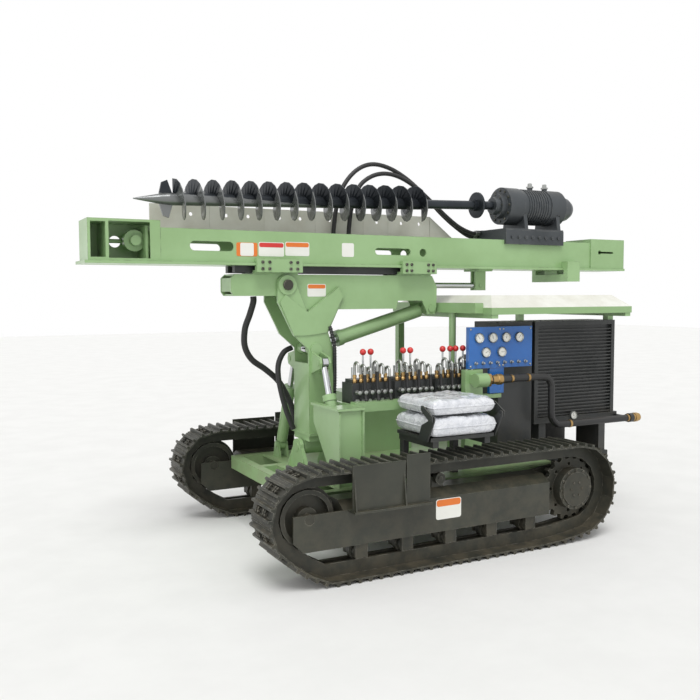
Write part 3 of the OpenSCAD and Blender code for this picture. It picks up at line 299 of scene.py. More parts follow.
# %% Effect: scuffs
scuff_effect, i_, o_ = effect("scuffs", [("Vector", "v", None), ("Scale", "n", 14.0), ("Share", "n", 0.1)],
                              [("Mask", "n")])
stretched = put(scuff_effect, "ShaderNodeMapping", {"Vector": i_["Vector"], "Scale": (1.0, 0.22, 3.0),
                                                    "Rotation": (0.2, 0.45, 0.3)})
streak = put(scuff_effect, "ShaderNodeTexNoise", {"Vector": stretched.outputs[0], "Scale": i_["Scale"], "Detail": 9.0,
                                                  "Roughness": 0.75})
edge = math_node(scuff_effect, "SUBTRACT", 0.74, i_["Share"])
above = math_node(scuff_effect, "MULTIPLY", math_node(scuff_effect, "SUBTRACT", streak.outputs[0], edge), 14.0,
                  clamp=True)
scuff_effect.links.new(above, o_.inputs["Mask"])

# %% Effect: rubbed edges
edge_effect, i_, o_ = effect("rubbed_edges", [("Vector", "v", None), ("Amount", "n", 1.0)], [("Mask", "n")])
rounded = put(edge_effect, "ShaderNodeBevel", {"Radius": 0.006}, samples=4)
true_normal = put(edge_effect, "ShaderNodeNewGeometry").outputs["Normal"]
likeness = put(edge_effect, "ShaderNodeVectorMath", {0: rounded.outputs[0], 1: true_normal},
               operation="DOT_PRODUCT").outputs["Value"]
broken = put(edge_effect, "ShaderNodeTexNoise", {"Vector": i_["Vector"], "Scale": 22.0, "Detail": 6.0,
                                                 "Roughness": 0.7})
turn_away = ramp(edge_effect, likeness, 0.995, 0.93)
spots = math_node(edge_effect, "MULTIPLY", turn_away, ramp(edge_effect, broken.outputs[0], 0.42, 0.6))
edge_effect.links.new(math_node(edge_effect, "MULTIPLY", spots, i_["Amount"], clamp=True), o_.inputs["Mask"])
print("effects", [g.name for g in bpy.data.node_groups])


# %% [markdown]
# ## A finish is a list of amounts
# Enamel, cast iron and rubber differ in colour, gloss and wear, not in kind. One function lays the four effects over
# each other: tone drift under the paint, bare metal at rubbed edges and scuffs, and dust on top. Numbers that are the
# same all over a surface go straight onto the shader's own sockets.

# %% Finish builder
def finish(name, colour, deeper, rough=(0.35, 0.5), metal=0.0, bare=None, edges=0.0, scuffs=0.0, dust=None, low=0.4,
           ledges=0.2, top=1.0, grain=320.0, drift=2.5, bump=0.05, coat=0.0, over=None):
    """colour drifts to deeper; bare shows at edges and scuffs; dust lies over all of it; over paints on last."""
    m = bpy.data.materials.new(name)
    m.use_nodes = True
    t = m.node_tree
    shader = t.nodes["Principled BSDF"]
    where = put(t, "ShaderNodeTexCoord").outputs["Object"]
    skin = put(t, "ShaderNodeGroup", {"Vector": where, "Grain": grain, "Drift": drift}, node_tree=skin_effect)
    paint = mix(t, skin.outputs["Tone"], colour, deeper)
    worn = None
    if edges:
        worn = put(t, "ShaderNodeGroup", {"Vector": where, "Amount": edges}, node_tree=edge_effect).outputs["Mask"]
    if scuffs:
        marks = put(t, "ShaderNodeGroup", {"Vector": where, "Share": scuffs}, node_tree=scuff_effect).outputs["Mask"]
        worn = math_node(t, "MAXIMUM", worn, marks) if worn else marks
    if worn:
        paint = mix(t, worn, paint, bare or deeper)
    gloss = put(t, "ShaderNodeMapRange", {"Value": skin.outputs["Tone"], "To Min": rough[0],
                                          "To Max": rough[1]}).outputs[0]
    if dust:
        fall = put(t, "ShaderNodeGroup", {"Vector": where, "Top": top, "Low": low, "Ledges": ledges},
                   node_tree=dust_effect).outputs["Mask"]
        paint = mix(t, fall, paint, dust)
        gloss = math_node(t, "MAXIMUM", gloss, math_node(t, "MULTIPLY", fall, 0.9))
    if over:
        paint, gloss = over(t, where, paint, gloss)
    t.links.new(paint, shader.inputs["Base Color"])
    t.links.new(gloss, shader.inputs["Roughness"])
    relief = put(t, "ShaderNodeBump", {"Height": skin.outputs["Height"], "Strength": bump, "Distance": 0.002})
    t.links.new(relief.outputs[0], shader.inputs["Normal"])
    shader.inputs["Metallic"].default_value = metal
    shader.inputs["Coat Weight"].default_value = coat
    shader.inputs["Coat Roughness"].default_value = 0.12
    return m


SOIL = rgb(118, 108, 88)
green = finish("green_enamel", rgb(150, 183, 131), rgb(139, 171, 119), (0.3, 0.42), bare=rgb(92, 100, 80), edges=0.7,
               scuffs=0.02, dust=rgb(150, 148, 124), low=0.35, ledges=0.12, top=0.9, coat=0.25)
satin_black = finish("satin_black", rgb(48, 50, 50), rgb(38, 41, 41), (0.38, 0.55), bare=rgb(92, 92, 88), edges=0.55,
                     scuffs=0.015, dust=SOIL, low=0.3, ledges=0.16, top=0.9, coat=0.1)
frame_black = finish("frame_black", rgb(54, 56, 47), rgb(43, 45, 38), (0.36, 0.52), bare=rgb(100, 99, 90), edges=0.7,
                     scuffs=0.02, dust=SOIL, low=0.22, ledges=0.22, top=0.7)
print("paints", green.name, satin_black.name, frame_black.name)

# %% [markdown]
# ## Steel that works
# The shoes grind on the floor, so their ribs are scraped bare low down while the rest stays olive black. The auger
# left the forge blue black: its flight shines only along the outer edge, where it cuts. A mask made from the distance
# to the auger's own line finds that edge wherever the auger stands. The line is brought to Z by a mapping node first.

# %% Track, auger and head
track_iron = finish("track_iron", rgb(56, 57, 50), rgb(42, 44, 39), (0.42, 0.62), metal=0.25, bare=rgb(128, 126, 116),
                    edges=0.95, scuffs=0.04, dust=SOIL, low=0.28, ledges=0.2, top=0.7, grain=160.0, bump=0.18)
HEAD_Z = 2.228
NOSE = at(-0.905, 0, HEAD_Z)
DROOP = math.radians(1.8)


def outer_edge(t, where, paint, gloss):
    """Radius about the drooping line = length of (x, y) after the line is turned to Z; past 110 mm it is polished."""
    centred = put(t, "ShaderNodeVectorMath", {0: where, 1: tuple(NOSE.tolist())}, operation="SUBTRACT").outputs[0]
    line = put(t, "ShaderNodeMapping", {"Vector": centred, "Rotation": (0.0, DROOP, 0.0)}).outputs[0]
    axis = put(t, "ShaderNodeSeparateXYZ", {0: line}).outputs
    radius = math_node(t, "SQRT", math_node(t, "ADD", math_node(t, "POWER", axis[1], 2.0),
                                            math_node(t, "POWER", axis[2], 2.0)))
    uneven = put(t, "ShaderNodeTexNoise", {"Vector": where, "Scale": 26.0, "Detail": 5.0}).outputs[0]
    rubbed = ramp(t, math_node(t, "ADD", radius, math_node(t, "MULTIPLY", uneven, 0.012)), 0.121, 0.127)
    return mix(t, rubbed, paint, rgb(122, 124, 124)), math_node(t, "SUBTRACT", gloss,
                                                                math_node(t, "MULTIPLY", rubbed, 0.15))


auger_black = finish("auger_blue_black", rgb(50, 55, 60), rgb(36, 40, 45), (0.28, 0.46), metal=0.55,
                     bare=rgb(110, 112, 112), edges=0.35, scuffs=0.03, grain=220.0, bump=0.08, over=outer_edge)
head_grey = finish("head_grey", rgb(74, 78, 81), rgb(60, 64, 67), (0.35, 0.55), metal=0.35, bare=rgb(130, 130, 128),
                   edges=0.6, scuffs=0.03, dust=SOIL, low=0.0, ledges=0.12, top=3.0, grain=200.0, bump=0.12)
chrome = finish("bright_chrome", rgb(205, 207, 208), rgb(190, 193, 196), (0.08, 0.16), metal=1.0,
                bare=rgb(150, 150, 150), scuffs=0.01, grain=500.0, bump=0.01)
zinc = finish("zinc_fitting", rgb(176, 178, 174), rgb(150, 152, 150), (0.25, 0.4), metal=0.9, bare=rgb(110, 108, 100),
              scuffs=0.03, bump=0.03)
brass = finish("brass_fitting", rgb(190, 158, 106), rgb(164, 132, 84), (0.24, 0.4), metal=0.9, bare=rgb(120, 88, 50),
               scuffs=0.03, bump=0.03)
bolt_steel = finish("bolt_steel", rgb(70, 70, 62), rgb(52, 52, 46), (0.4, 0.6), metal=0.5, bare=rgb(140, 136, 126),
                    edges=0.8, dust=SOIL, low=0.4, ledges=0.2, top=0.8)
print("metals", track_iron.name, auger_black.name, head_grey.name, chrome.name, zinc.name, brass.name)

# %% [markdown]
# ## Cream, blue, rubber and vinyl
# The hood and the hose tray are cream enamel, rain-streaked. The dial panel is gloss blue. Rubber is nearly black
# with a faint bloom. The seat still has its clear wrapping: white vinyl under film, so the gloss is a coat over the
# cloth, and the creases are a ridged noise that bends it. Thin crease lines from a second noise carry painted shade.

# %% Cream, blue, rubber
cream = finish("cream_enamel", rgb(206, 206, 196), rgb(192, 190, 178), (0.32, 0.45), bare=rgb(150, 146, 130), edges=0.5,
               scuffs=0.03, dust=rgb(150, 144, 124), low=0.0, ledges=0.25, top=2.0, drift=4.0, coat=0.2)
blue = finish("blue_enamel", rgb(28, 104, 182), rgb(22, 90, 164), (0.25, 0.35), bare=rgb(120, 150, 180), edges=0.5,
              scuffs=0.01, coat=0.4)
red = finish("red_plastic", rgb(214, 52, 48), rgb(196, 42, 40), (0.28, 0.36), coat=0.2, grain=600.0, bump=0.02)
rubber = finish("hose_rubber", rgb(30, 30, 31), rgb(40, 40, 40), (0.42, 0.6), scuffs=0.03, bare=rgb(70, 70, 68),
                dust=SOIL, low=0.1, ledges=0.1, top=0.8, grain=420.0, bump=0.12)
white_vinyl = finish("plate_white", rgb(232, 232, 226), rgb(222, 222, 214), (0.3, 0.4), scuffs=0.01,
                     bare=rgb(190, 190, 180), coat=0.3)
orange_vinyl = finish("plate_orange", rgb(226, 120, 36), rgb(214, 108, 30), (0.3, 0.4), coat=0.3)


def creases(t, where, paint, gloss):
    """Ridges where a stretched noise crosses 0.5: 1 - 9 |noise - 0.5|, as a glossier line of painted shade."""
    folded = put(t, "ShaderNodeMapping", {"Vector": where, "Scale": (1.0, 0.5, 1.6), "Rotation": (0.3, 0.2, 0.6)})
    wave = put(t, "ShaderNodeTexNoise", {"Vector": folded.outputs[0], "Scale": 13.0, "Detail": 3.0, "Distortion": 1.4})
    away = math_node(t, "ABSOLUTE", math_node(t, "SUBTRACT", wave.outputs[0], 0.5))
    crease_shade_and_gloss = math_node(t, "SUBTRACT", 1.0, math_node(t, "MULTIPLY", away, 9.0), clamp=True)
    # painted shade: each crease line is mixed about a third of the way to a darker blue grey
    return mix(t, math_node(t, "MULTIPLY", crease_shade_and_gloss, 0.35), paint, rgb(176, 180, 188)), \
        math_node(t, "SUBTRACT", gloss, math_node(t, "MULTIPLY", crease_shade_and_gloss, 0.1))


wrapped = finish("seat_wrapped_vinyl", rgb(232, 233, 236), rgb(214, 216, 222), (0.24, 0.42), drift=7.0, grain=260.0,
                 bump=0.06, coat=0.9, over=creases)
crease_tree = wrapped.node_tree
ridged = put(crease_tree, "ShaderNodeTexNoise", {"Vector": put(crease_tree, "ShaderNodeTexCoord").outputs["Object"],
                                                 "Scale": 16.0, "Detail": 4.0, "Distortion": 2.2})
fold_bump = put(crease_tree, "ShaderNodeBump", {"Height": ridged.outputs[0], "Strength": 0.55, "Distance": 0.02})
crease_tree.links.new(fold_bump.outputs[0], crease_tree.nodes["Bump"].inputs["Normal"])
print("soft finishes", cream.name, blue.name, rubber.name, wrapped.name)

# %% [markdown]
# ## Who wears what
# Each steel part keeps its shape and takes a finish. The table runs over the record's own slots, with a few parts
# moved to the finish the photograph shows for them.

# %% Finishes for the steel parts
def two_tone(axis, limit, below_limit):
    """A second paint on one side of a plane: below the limit along an axis of the frame (0 = X, 2 = Z)."""
    def over(t, where, paint, gloss):
        along = put(t, "ShaderNodeSeparateXYZ", {0: where}).outputs[axis]
        return mix(t, math_node(t, "LESS_THAN", along, limit), paint, below_limit), gloss
    return over


HOOD_RIM_Z, DECK_BLACK_X, MANIFOLD_X = 1.4995, -1.0, -0.4405
hood_paint = finish("hood_cream_and_green", rgb(232, 232, 224), rgb(220, 219, 208), (0.3, 0.45),
                    bare=rgb(170, 166, 150), edges=0.4, scuffs=0.02, dust=rgb(160, 154, 134), low=0.0, ledges=0.16,
                    top=2.0, drift=4.0, coat=0.2, over=two_tone(2, HOOD_RIM_Z, rgb(139, 171, 119)))
deck_paint = finish("deck_green_and_black", rgb(146, 178, 127), rgb(132, 162, 112), (0.34, 0.5), bare=rgb(92, 100, 80),
                    edges=0.7, scuffs=0.04, dust=rgb(130, 126, 100), low=0.5, ledges=0.2, top=0.9,
                    over=two_tone(0, at(DECK_BLACK_X, 0, 0)[0], rgb(40, 42, 40)))
manifold_paint = finish("manifold_green_and_black", rgb(150, 183, 131), rgb(139, 171, 119), (0.3, 0.42), edges=0.5,
                        bare=rgb(92, 100, 80), over=two_tone(0, at(MANIFOLD_X, 0, 0)[0], rgb(42, 43, 43)))
by_slot = {"green_paint": green, "track_steel": track_iron, "frame_black": satin_black, "auger_steel": auger_black,
           "bright_steel": chrome, "cream_paint": cream, "blue_paint": blue, "seat_vinyl": wrapped,
           "hose_rubber": rubber}
of_their_own = {"canopy": hood_paint, "deck_frame": deck_paint, "air_fittings": manifold_paint,
                "rotary_head": head_grey, "head_carriage": head_grey, "track_frame_left": frame_black,
                "track_frame_right": frame_black, "cross_beams": frame_black, "step_brackets": frame_black}
for part in frame["record"]["subparts"]:
    steel = frame["nodes"][part["node"]]
    steel.data.materials.clear()
    steel.data.materials.append(of_their_own.get(part["node"], by_slot[part["material_slot"]]))

# %% [markdown]
# ## Hoses
# Two pressure hoses feed the rotary head. They rise from the tray on the mast's far side, arch over and drop to the
# carriage. Another falls from the boom to the foot of the post. A hose is a circle carried along a smooth curve
# through the same knots as its solid in the frame. Two leads run down the post, one of them inside a spiral wrap,
# which is a thin tube wound about the lead's own path.

# %% Hoses
FEED_LONG = [(.272, -.190, 1.936), (.268, -.190, 2.040), (.246, -.190, 2.180), (.190, -.190, 2.330),
             (.090, -.190, 2.440), (-.030, -.190, 2.488), (-.170, -.190, 2.470), (-.320, -.190, 2.400),
             (-.470, -.190, 2.290), (-.610, -.190, 2.170), (-.730, -.190, 2.085), (-.850, -.190, 2.020),
             (-.928, -.190, 2.020)]
FEED_SHORT = [(.172, -.158, 1.936), (.168, -.158, 2.040), (.146, -.158, 2.180), (.090, -.158, 2.320),
              (.000, -.158, 2.395), (-.110, -.158, 2.425), (-.230, -.158, 2.410), (-.360, -.158, 2.350),
              (-.500, -.158, 2.250), (-.630, -.158, 2.150), (-.740, -.158, 2.080), (-.850, -.158, 2.040),
              (-.928, -.158, 2.040)]
POST_HOSE = [(.905, -.060, 1.577), (.905, -.060, 1.540), (.925, -.075, 1.460), (.950, -.095, 1.370),
             (.945, -.115, 1.260), (.890, -.135, 1.170), (.790, -.148, 1.100), (.700, -.152, 1.020),
             (.645, -.152, .930), (.605, -.150, .840), (.585, -.148, .760), (.580, -.148, .701)]
POST_LEAD = [(.630, -.086, 1.242), (.685, -.088, 1.215), (.722, -.090, 1.145), (.726, -.090, 1.060),
             (.704, -.090, .944), (.672, -.090, .832), (.640, -.090, .750), (.622, -.090, .705)]
BACK_LEAD = [(.458, .130, 1.385), (.432, .136, 1.270), (.424, .128, 1.150), (.413, .105, 1.020), (.410, .088, .910),
             (.412, .078, .800)]


def hose(name, knots, radius, bodies, node=None):
    """A tube along the smoothed knots, hiding the frame's hose; it rides on one body, or on none where it joins two."""
    path = at(curve(knots))
    made = piece(name, [tube(path, radius)], rubber)
    if node:
        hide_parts(node)
    if len(bodies) == 2:
        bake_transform(made)
    else:
        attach(made, bodies[0])


def coiled(knots, radius, turns, a_turn=12):
    """Path(s) + radius (cos w, sin w, 0): s runs evenly along the hose while w makes the turns."""
    path = at(curve(knots))
    run = np.r_[0, np.cumsum(np.linalg.norm(np.diff(path, axis=0), axis=1))]
    s = np.linspace(.01, run[-1] - .01, turns * a_turn)
    w = np.arange(len(s)) * 2 * math.pi / a_turn
    middle = np.stack([np.interp(s, run, path[:, k]) for k in range(3)], -1)
    return middle + radius * np.c_[np.cos(w), np.sin(w), np.zeros(len(s))]


hose("hose_feed_long", FEED_LONG, 0.015, ("mast", "head"), "feed_hose_long")
hose("hose_feed_short", FEED_SHORT, 0.015, ("mast", "head"), "feed_hose_short")
hose("hose_to_post", POST_HOSE, 0.020, ("boom", "post"), "post_hose")
hose("hose_post_lead", POST_LEAD, 0.018, ("post",))
hose("hose_back_lead", BACK_LEAD, 0.011, ("post",))
piece("hose_back_wrap", [tube(coiled(BACK_LEAD, 0.0120, 32), .0036, (0, 0, 1), 6)], satin_black, "post")

# %% [markdown]
# ## The seat
# Cushion and folded backrest are foam under vinyl: highest in the middle, pinched at the sewn edge, sides drawn in
# between the corners. Two sheets over the same outline meet at the seam, and a welt runs round it. A cloth simulation
# would also do, but a height function keeps the pads clear of their hinge plates. The wrapping's folds are added to
# the height as crossing waves that die out at the seam.

# %% Cushion and backrest
PAD_GRID = 61


def pad(name, node, lo, hi, crown, waves):
    """Plan: x = mid + half s (1 - 0.045 |s t|^6) (1 - 0.012 (1 - t^2) |s|), and y likewise with s and t exchanged.
    Height: swell = ((1 - |s|^14) (1 - |t|^14))^0.4; the top is mid + half swell (1 - crown (s^2 + t^2) / 2) with folds
    a sin(k s + m t + p) cos(m s - k t + 2 p) swell, and the underside is mid - 0.97 half swell."""
    body = "seat_back" if node == "seat_back" else "chassis"
    even = np.linspace(-1, 1, PAD_GRID)
    packed = np.sign(even) * (1 - (1 - np.abs(even)) ** 1.7)
    s, t = np.meshgrid(packed, packed)
    corner = 1 - 0.045 * np.abs(s * t) ** 6
    half = (np.array(hi) - np.array(lo)) / 2
    mid = (np.array(hi) + np.array(lo)) / 2
    x = mid[0] + half[0] * s * corner * (1 - 0.012 * (1 - t ** 2) * np.abs(s))
    y = mid[1] + half[1] * t * corner * (1 - 0.012 * (1 - s ** 2) * np.abs(t))
    swell = (np.clip(1 - np.abs(s) ** 14, 0, 1) * np.clip(1 - np.abs(t) ** 14, 0, 1)) ** 0.4
    fold = sum(a * np.sin(k * s + m * t + p) * np.cos(m * s - k * t + 2 * p) for a, k, m, p in waves) * swell
    up = np.minimum(mid[2] + half[2] * (swell * (1 - crown * (s ** 2 + t ** 2) / 2) + fold * 0.9), hi[2] + 0.006)
    down = mid[2] - half[2] * swell * 0.97
    top = np.stack([x, y, up], -1).reshape(-1, 3)
    bottom = np.stack([x, y, down], -1).reshape(-1, 3)
    f = quads(PAD_GRID, PAD_GRID, around=False)
    mesh = bpy.data.meshes.new(name)
    mesh.from_pydata(at(np.concatenate([top, bottom])).tolist(), [], f.tolist() + (f[:, ::-1] + len(top)).tolist())
    work = bmesh.new()
    work.from_mesh(mesh)
    bmesh.ops.remove_doubles(work, verts=work.verts, dist=0.0002)
    bmesh.ops.recalc_face_normals(work, faces=work.faces)
    work.to_mesh(mesh)
    work.free()
    mesh.shade_smooth()
    mesh.materials.append(wrapped)
    made = bpy.data.objects.new(name, mesh)
    bpy.context.scene.collection.objects.link(made)
    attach(made, body)
    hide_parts(node)
    rim = np.concatenate([np.stack([x[0], y[0]], -1), np.stack([x[1:, -1], y[1:, -1]], -1),
                          np.stack([x[-1, -2::-1], y[-1, -2::-1]], -1), np.stack([x[-2::-1, 0], y[-2::-1, 0]], -1)])
    line = at(np.c_[rim, np.full(len(rim), mid[2])])
    piece(name + "_welt", [tube(line, 0.0042, (0, 0, 1), 8)], wrapped, body)


CREASES = [(0.10, 5.0, 3.0, 0.4), (0.06, 11.0, -7.0, 1.3), (0.04, 19.0, 13.0, 2.2)]
pad("seat_cushion_pad", "seat_cushion", (-.270, .500, .755), (.200, .930, .873), 0.12, CREASES)
pad("seat_back_pad", "seat_back", (-.262, .506, .881), (.192, .924, .979), 0.16,
    [(a, k + 1, m, p + 1) for a, k, m, p in CREASES])

# %% [markdown]
# ## The valve bank
# Three sectional valves carry eight levers with red knobs. Behind each lever stands a row of hose unions: a brass or
# zinc hexagon, a collar, and a bent pipe that turns down into a black hose. One turned profile serves every union.

# %% Knobs, boots and unions
LEVER_X = np.array([.335, .280, .042, -.012, -.262, -.322, -.366, -.424])
VALVE_X = ((.170, .440), (-.135, .135), (-.480, -.170))
lever_plan = np.c_[LEVER_X, np.full(8, .345)]
a = np.linspace(-math.pi / 2 * 0.93, math.pi / 2 * 0.93, 12)
knob = turned(np.c_[0.0205 * np.sin(a), 0.0205 * np.cos(a)], 20)
piece("lever_knobs", [placed(knob, at(np.c_[lever_plan, np.full(8, 1.228)]))], red, "chassis")
boot = turned([(0, .019), (.006, .019), (.009, .015), (.013, .018), (.017, .014), (.021, .0165), (.025, .0125),
               (.029, .015), (.034, .011), (.046, .0085), (.047, .007)], 20)
piece("lever_boots", [placed(boot, at(np.c_[lever_plan, np.full(8, 1.0635)]))], rubber, "chassis")
SECTION = .044
port_x = np.array([low + SECTION / 2 + k * SECTION for low, high in VALVE_X
                   for k in range(round((high - low - .03) / SECTION) + 1)])
hexagon = turned([(0, .0135), (.002, .015), (.020, .015), (.022, .0135)], 6)
collar = turned([(.020, .011), (.034, .011), (.035, .013), (.050, .013), (.052, .010)], 18)
front_row = np.c_[port_x, np.full(len(port_x), .378), np.full(len(port_x), 1.0405)]
piece("unions_brass", [placed(hexagon, at(front_row)), placed(collar, at(front_row))], brass, "chassis")


def elbow(x, y, z, reach, rise, r):
    """A pipe that rises, turns a half circle towards +Y and comes down: (y, z) = centre + reach/2 (-cos a, sin a)."""
    a = np.linspace(0, math.pi, 13)
    path = np.concatenate([[(x, y, z)], np.c_[np.full(13, x), y + reach / 2 * (1 - np.cos(a)),
                                              z + rise + reach / 2 * np.sin(a)], [(x, y + reach, z + rise - .035)]])
    return tube(at(path), r, (1, 0, 0), 12)


bends = [elbow(x, .378, 1.088, .052, .02 + .018 * (k % 3), .0085) for k, x in enumerate(port_x)]
piece("union_bends", bends, zinc, "chassis")
face = np.c_[port_x, np.full(len(port_x), .4002), np.full(len(port_x), .985)]
piece("spool_caps", [placed(hexagon, at(face), (0, 1, 0)), placed(collar, at(face), (0, 1, 0)),
                     placed(hexagon, at(face - [0, 0, .055]), (0, 1, 0))], zinc, "chassis")
down = [tube(at(curve([(x, .430, 1.075 + .018 * (k % 3)), (x, .431, 1.03), (x, .436, .98), (x, .446, .945),
                       (x, .452, .933)], 4)), .0105, (1, 0, 0), 12) for k, x in enumerate(port_x) if k % 2 == 0]
piece("union_tails", down, rubber, "chassis")


# %% [markdown]
# ## Dials and plates
# A dial is a turned bezel, a white face under it and a thin needle. The signs on the machine are left blank: thin
# vinyl with a coloured header, laid just proud of the steel. They are flat bars with a hair of thickness.

# %% Dials
def dial(spot, radius, along, body, name, angle):
    """Bezel, face, needle and marks about the direction that the dial looks in; the marks' angles are 0.5 k - 4.07."""
    bezel = turned([(0, radius), (.012, radius), (.016, radius * .93), (.012, radius * .84), (.009, radius * .84)], 32)
    card = turned([(.008, radius * .85), (.0095, radius * .85)], 32)
    ticks = np.arange(11) * 0.5 - 4.07
    rays = np.c_[np.cos(ticks), np.sin(ticks)]
    needle = bar([(-.0012, -.2 * radius), (.0012, -.2 * radius), (.0005, .66 * radius), (-.0005, .66 * radius)],
                 .0096, .0105)
    c, s = math.cos(angle), math.sin(angle)
    spun = (needle[0] @ np.array([[c, s, 0], [-s, c, 0], [0, 0, 1]]), needle[1])
    tick = turned([(.0092, radius * .05), (.0100, radius * .05)], 6)
    marks = (np.concatenate([tick[0] + [*(ray * radius * .7), 0] for ray in rays]),
             [[q + k * len(tick[0]) for q in f] for k in range(11) for f in tick[1]])
    piece(name + "_bezel", [placed(bezel, spot, along)], zinc, body)
    piece(name + "_face", [placed(card, spot, along)], white_vinyl, body)
    piece(name + "_marks", [placed(spun, spot, along), placed(marks, spot, along)], satin_black, body)


PANEL_FACE = .4802
for k, (x, z) in enumerate([(-.455, 1.300), (-.565, 1.300), (-.675, 1.300), (-.785, 1.300), (-.510, 1.205),
                            (-.640, 1.205)]):
    dial(at(x, PANEL_FACE, z), .034, (0, 1, 0), "chassis", f"dial_{k}", 0.7 - 0.45 * k)
dial(at(-1.301, .4522, .731), .030, (0, 1, 0), "chassis", "cooler_gauge", 0.3)
switch = turned([(0, .011), (.006, .011), (.008, .008), (.020, .0075), (.021, .006)], 16)
switch_row = np.c_[np.linspace(-.84, -.43, 8), np.full(8, PANEL_FACE), np.full(8, 1.135)]
piece("panel_switches", [placed(switch, at(switch_row), (0, 1, 0))], zinc, "chassis")
corner_spots = np.array([(x, PANEL_FACE, z) for x in (-.885, -.655, -.625, -.390) for z in (1.115, 1.357)])
small_head = turned([(0, .007), (.003, .007), (.005, .0045)], 12)
piece("panel_screws", [placed(small_head, at(corner_spots), (0, 1, 0))], zinc, "chassis")


# %% Blank plates
def plate(name, x, z, y, body, material, header=None, lift=.0012):
    """A flat rounded sign between two X and two Z values on a face that looks to +Y, with a header over its top third.
    Each corner is a quarter circle of radius r, r = 0.12 times the shorter side."""
    r = min(abs(x[1] - x[0]), abs(z[1] - z[0])) * 0.12
    a = np.arange(5) * math.pi / 8
    quarter = np.c_[np.cos(a), np.sin(a)] * r

    def rounded(x0, x1, z0, z1):
        """The four quarter circles, each turned by one more right angle."""
        spots = [(x1 - r, z1 - r), (x0 + r, z1 - r), (x0 + r, z0 + r), (x1 - r, z0 + r)]
        turns = [np.array([[math.cos(q), math.sin(q)], [-math.sin(q), math.cos(q)]])
                 for q in np.arange(4) * math.pi / 2]
        return np.concatenate([quarter @ m + s for m, s in zip(turns, spots)])

    def sheet_at(xz, low, high):
        """The outline stood upright on the face, from low to high above it."""
        v, f = bar(xz, low, high)
        return at(np.stack([v[:, 0], y + v[:, 2], v[:, 1]], -1)), f

    low_x, high_x = sorted(x)
    piece(name, [sheet_at(rounded(low_x, high_x, *z), 0.0002, lift)], material, body)
    if header:
        cut = z[0] + (z[1] - z[0]) * 0.64
        piece(name + "_header", [sheet_at(rounded(low_x + .004, high_x - .004, cut, z[1] - .004), lift, lift + .0006)],
              header, body)


MAST_FACE, BEAM_FACE, TRACK_FACE = .130, .097, .900
plate("plate_mast_a", (1.082, .948), (1.820, 1.902), MAST_FACE, "mast", orange_vinyl)
plate("plate_mast_a_middle", (1.058, .972), (1.822, 1.900), MAST_FACE + .0012, "mast", white_vinyl)
plate("plate_mast_b", (.940, .772), (1.822, 1.908), MAST_FACE, "mast", white_vinyl, red)
plate("plate_mast_c", (.764, .600), (1.828, 1.914), MAST_FACE, "mast", white_vinyl, orange_vinyl)
plate("plate_mast_d", (.370, .283), (1.829, 1.917), MAST_FACE, "mast", white_vinyl)
plate("plate_beam", (.600, .470), (1.575, 1.655), BEAM_FACE, "boom", white_vinyl, orange_vinyl)
plate("plate_track", (.154, -.023), (.272, .392), TRACK_FACE, "chassis", white_vinyl, orange_vinyl)

# %% [markdown]
# ## Bolts by the hundred
# Each track shoe is held by four bolts, and the shoes follow a loop of four circles and their tangents. For each
# direction the loop's farthest point is the farthest circle's edge, so one array of directions gives the whole loop,
# and its running length places every bolt. A bolt head is a six-sided bar of a few faces because there are hundreds.

# %% Track bolts
WHEELS = np.array([(.850, .150, .150), (.9625, .377, .270), (-.9245, .335, .308), (-.700, .170, .170)])
SHOES, TRACK_Y, SHOE_DEPTH = 41, .810, .020
BOLT_ROWS, BOLT_PHASES = (-.062, -.034, .034, .062), (0.43, 0.57)


def loop(offset, count, phases):
    """Farthest point in direction n = centre + (radius - offset) n of the circle with the largest centre.n + radius.
    The run starts where the front ground circle takes over, as the shoes do; phases are shares of a shoe's pitch."""
    angle = np.linspace(-math.pi / 2 + 1e-4, 1.5 * math.pi + 1e-4, 4001)
    n = np.stack([np.cos(angle), np.sin(angle)], -1)
    far = np.argmax(n @ WHEELS[:, :2].T + WHEELS[:, 2], axis=1)
    p = WHEELS[far, :2] + (WHEELS[far, 2] - offset)[:, None] * n
    run = np.concatenate([[0], np.cumsum(np.linalg.norm(np.diff(p, axis=0), axis=1))])
    s = np.sort((np.arange(count)[:, None] + np.array(phases)).ravel()) / count * run[-1]
    spot = np.stack([np.interp(s, run, p[:, k]) for k in (0, 1)], -1)
    out = np.stack([np.interp(s, run, n[:, k]) for k in (0, 1)], -1)
    return spot, out / np.linalg.norm(out, axis=1, keepdims=True)


shoe_bolt = turned([(-.004, .0085), (.0065, .0085), (.008, .0065)], 6)
spots, outs = loop(SHOE_DEPTH, SHOES, BOLT_PHASES)
for side in (1, -1):
    rows = [placed(shoe_bolt, at(np.c_[spots[:, 0], np.full(len(spots), side * (TRACK_Y + y)), spots[:, 1]]),
                   np.c_[outs[:, 0], np.zeros(len(outs)), outs[:, 1]]) for y in BOLT_ROWS]
    piece(f"shoe_bolts_{'left' if side > 0 else 'right'}", rows, bolt_steel, "chassis", smooth=False)

# %% [markdown]
# ## Bolts and pins that hold the machine together
# Rings of bolts close the rotary head's flanges and the final drives, pairs hold the guide blocks under the mast, and
# retaining plates sit over the boom's pins.

# %% Flange bolts, guide bolts, pins
def ring(spot, along, radius, count, size):
    """count bolt heads on a circle about a direction: P = spot + radius (cos a X + sin a Y)."""
    a = np.arange(count) * 2 * math.pi / count
    v = np.c_[radius * np.cos(a), radius * np.sin(a), np.zeros(count)]
    heads = turned([(0, size), (size * .55, size), (size * .7, size * .8)], 6)
    p = (np.concatenate([heads[0] + row for row in v]),
         [[q + k * len(heads[0]) for q in f] for k in range(count) for f in heads[1]])
    return placed(p, spot, along)


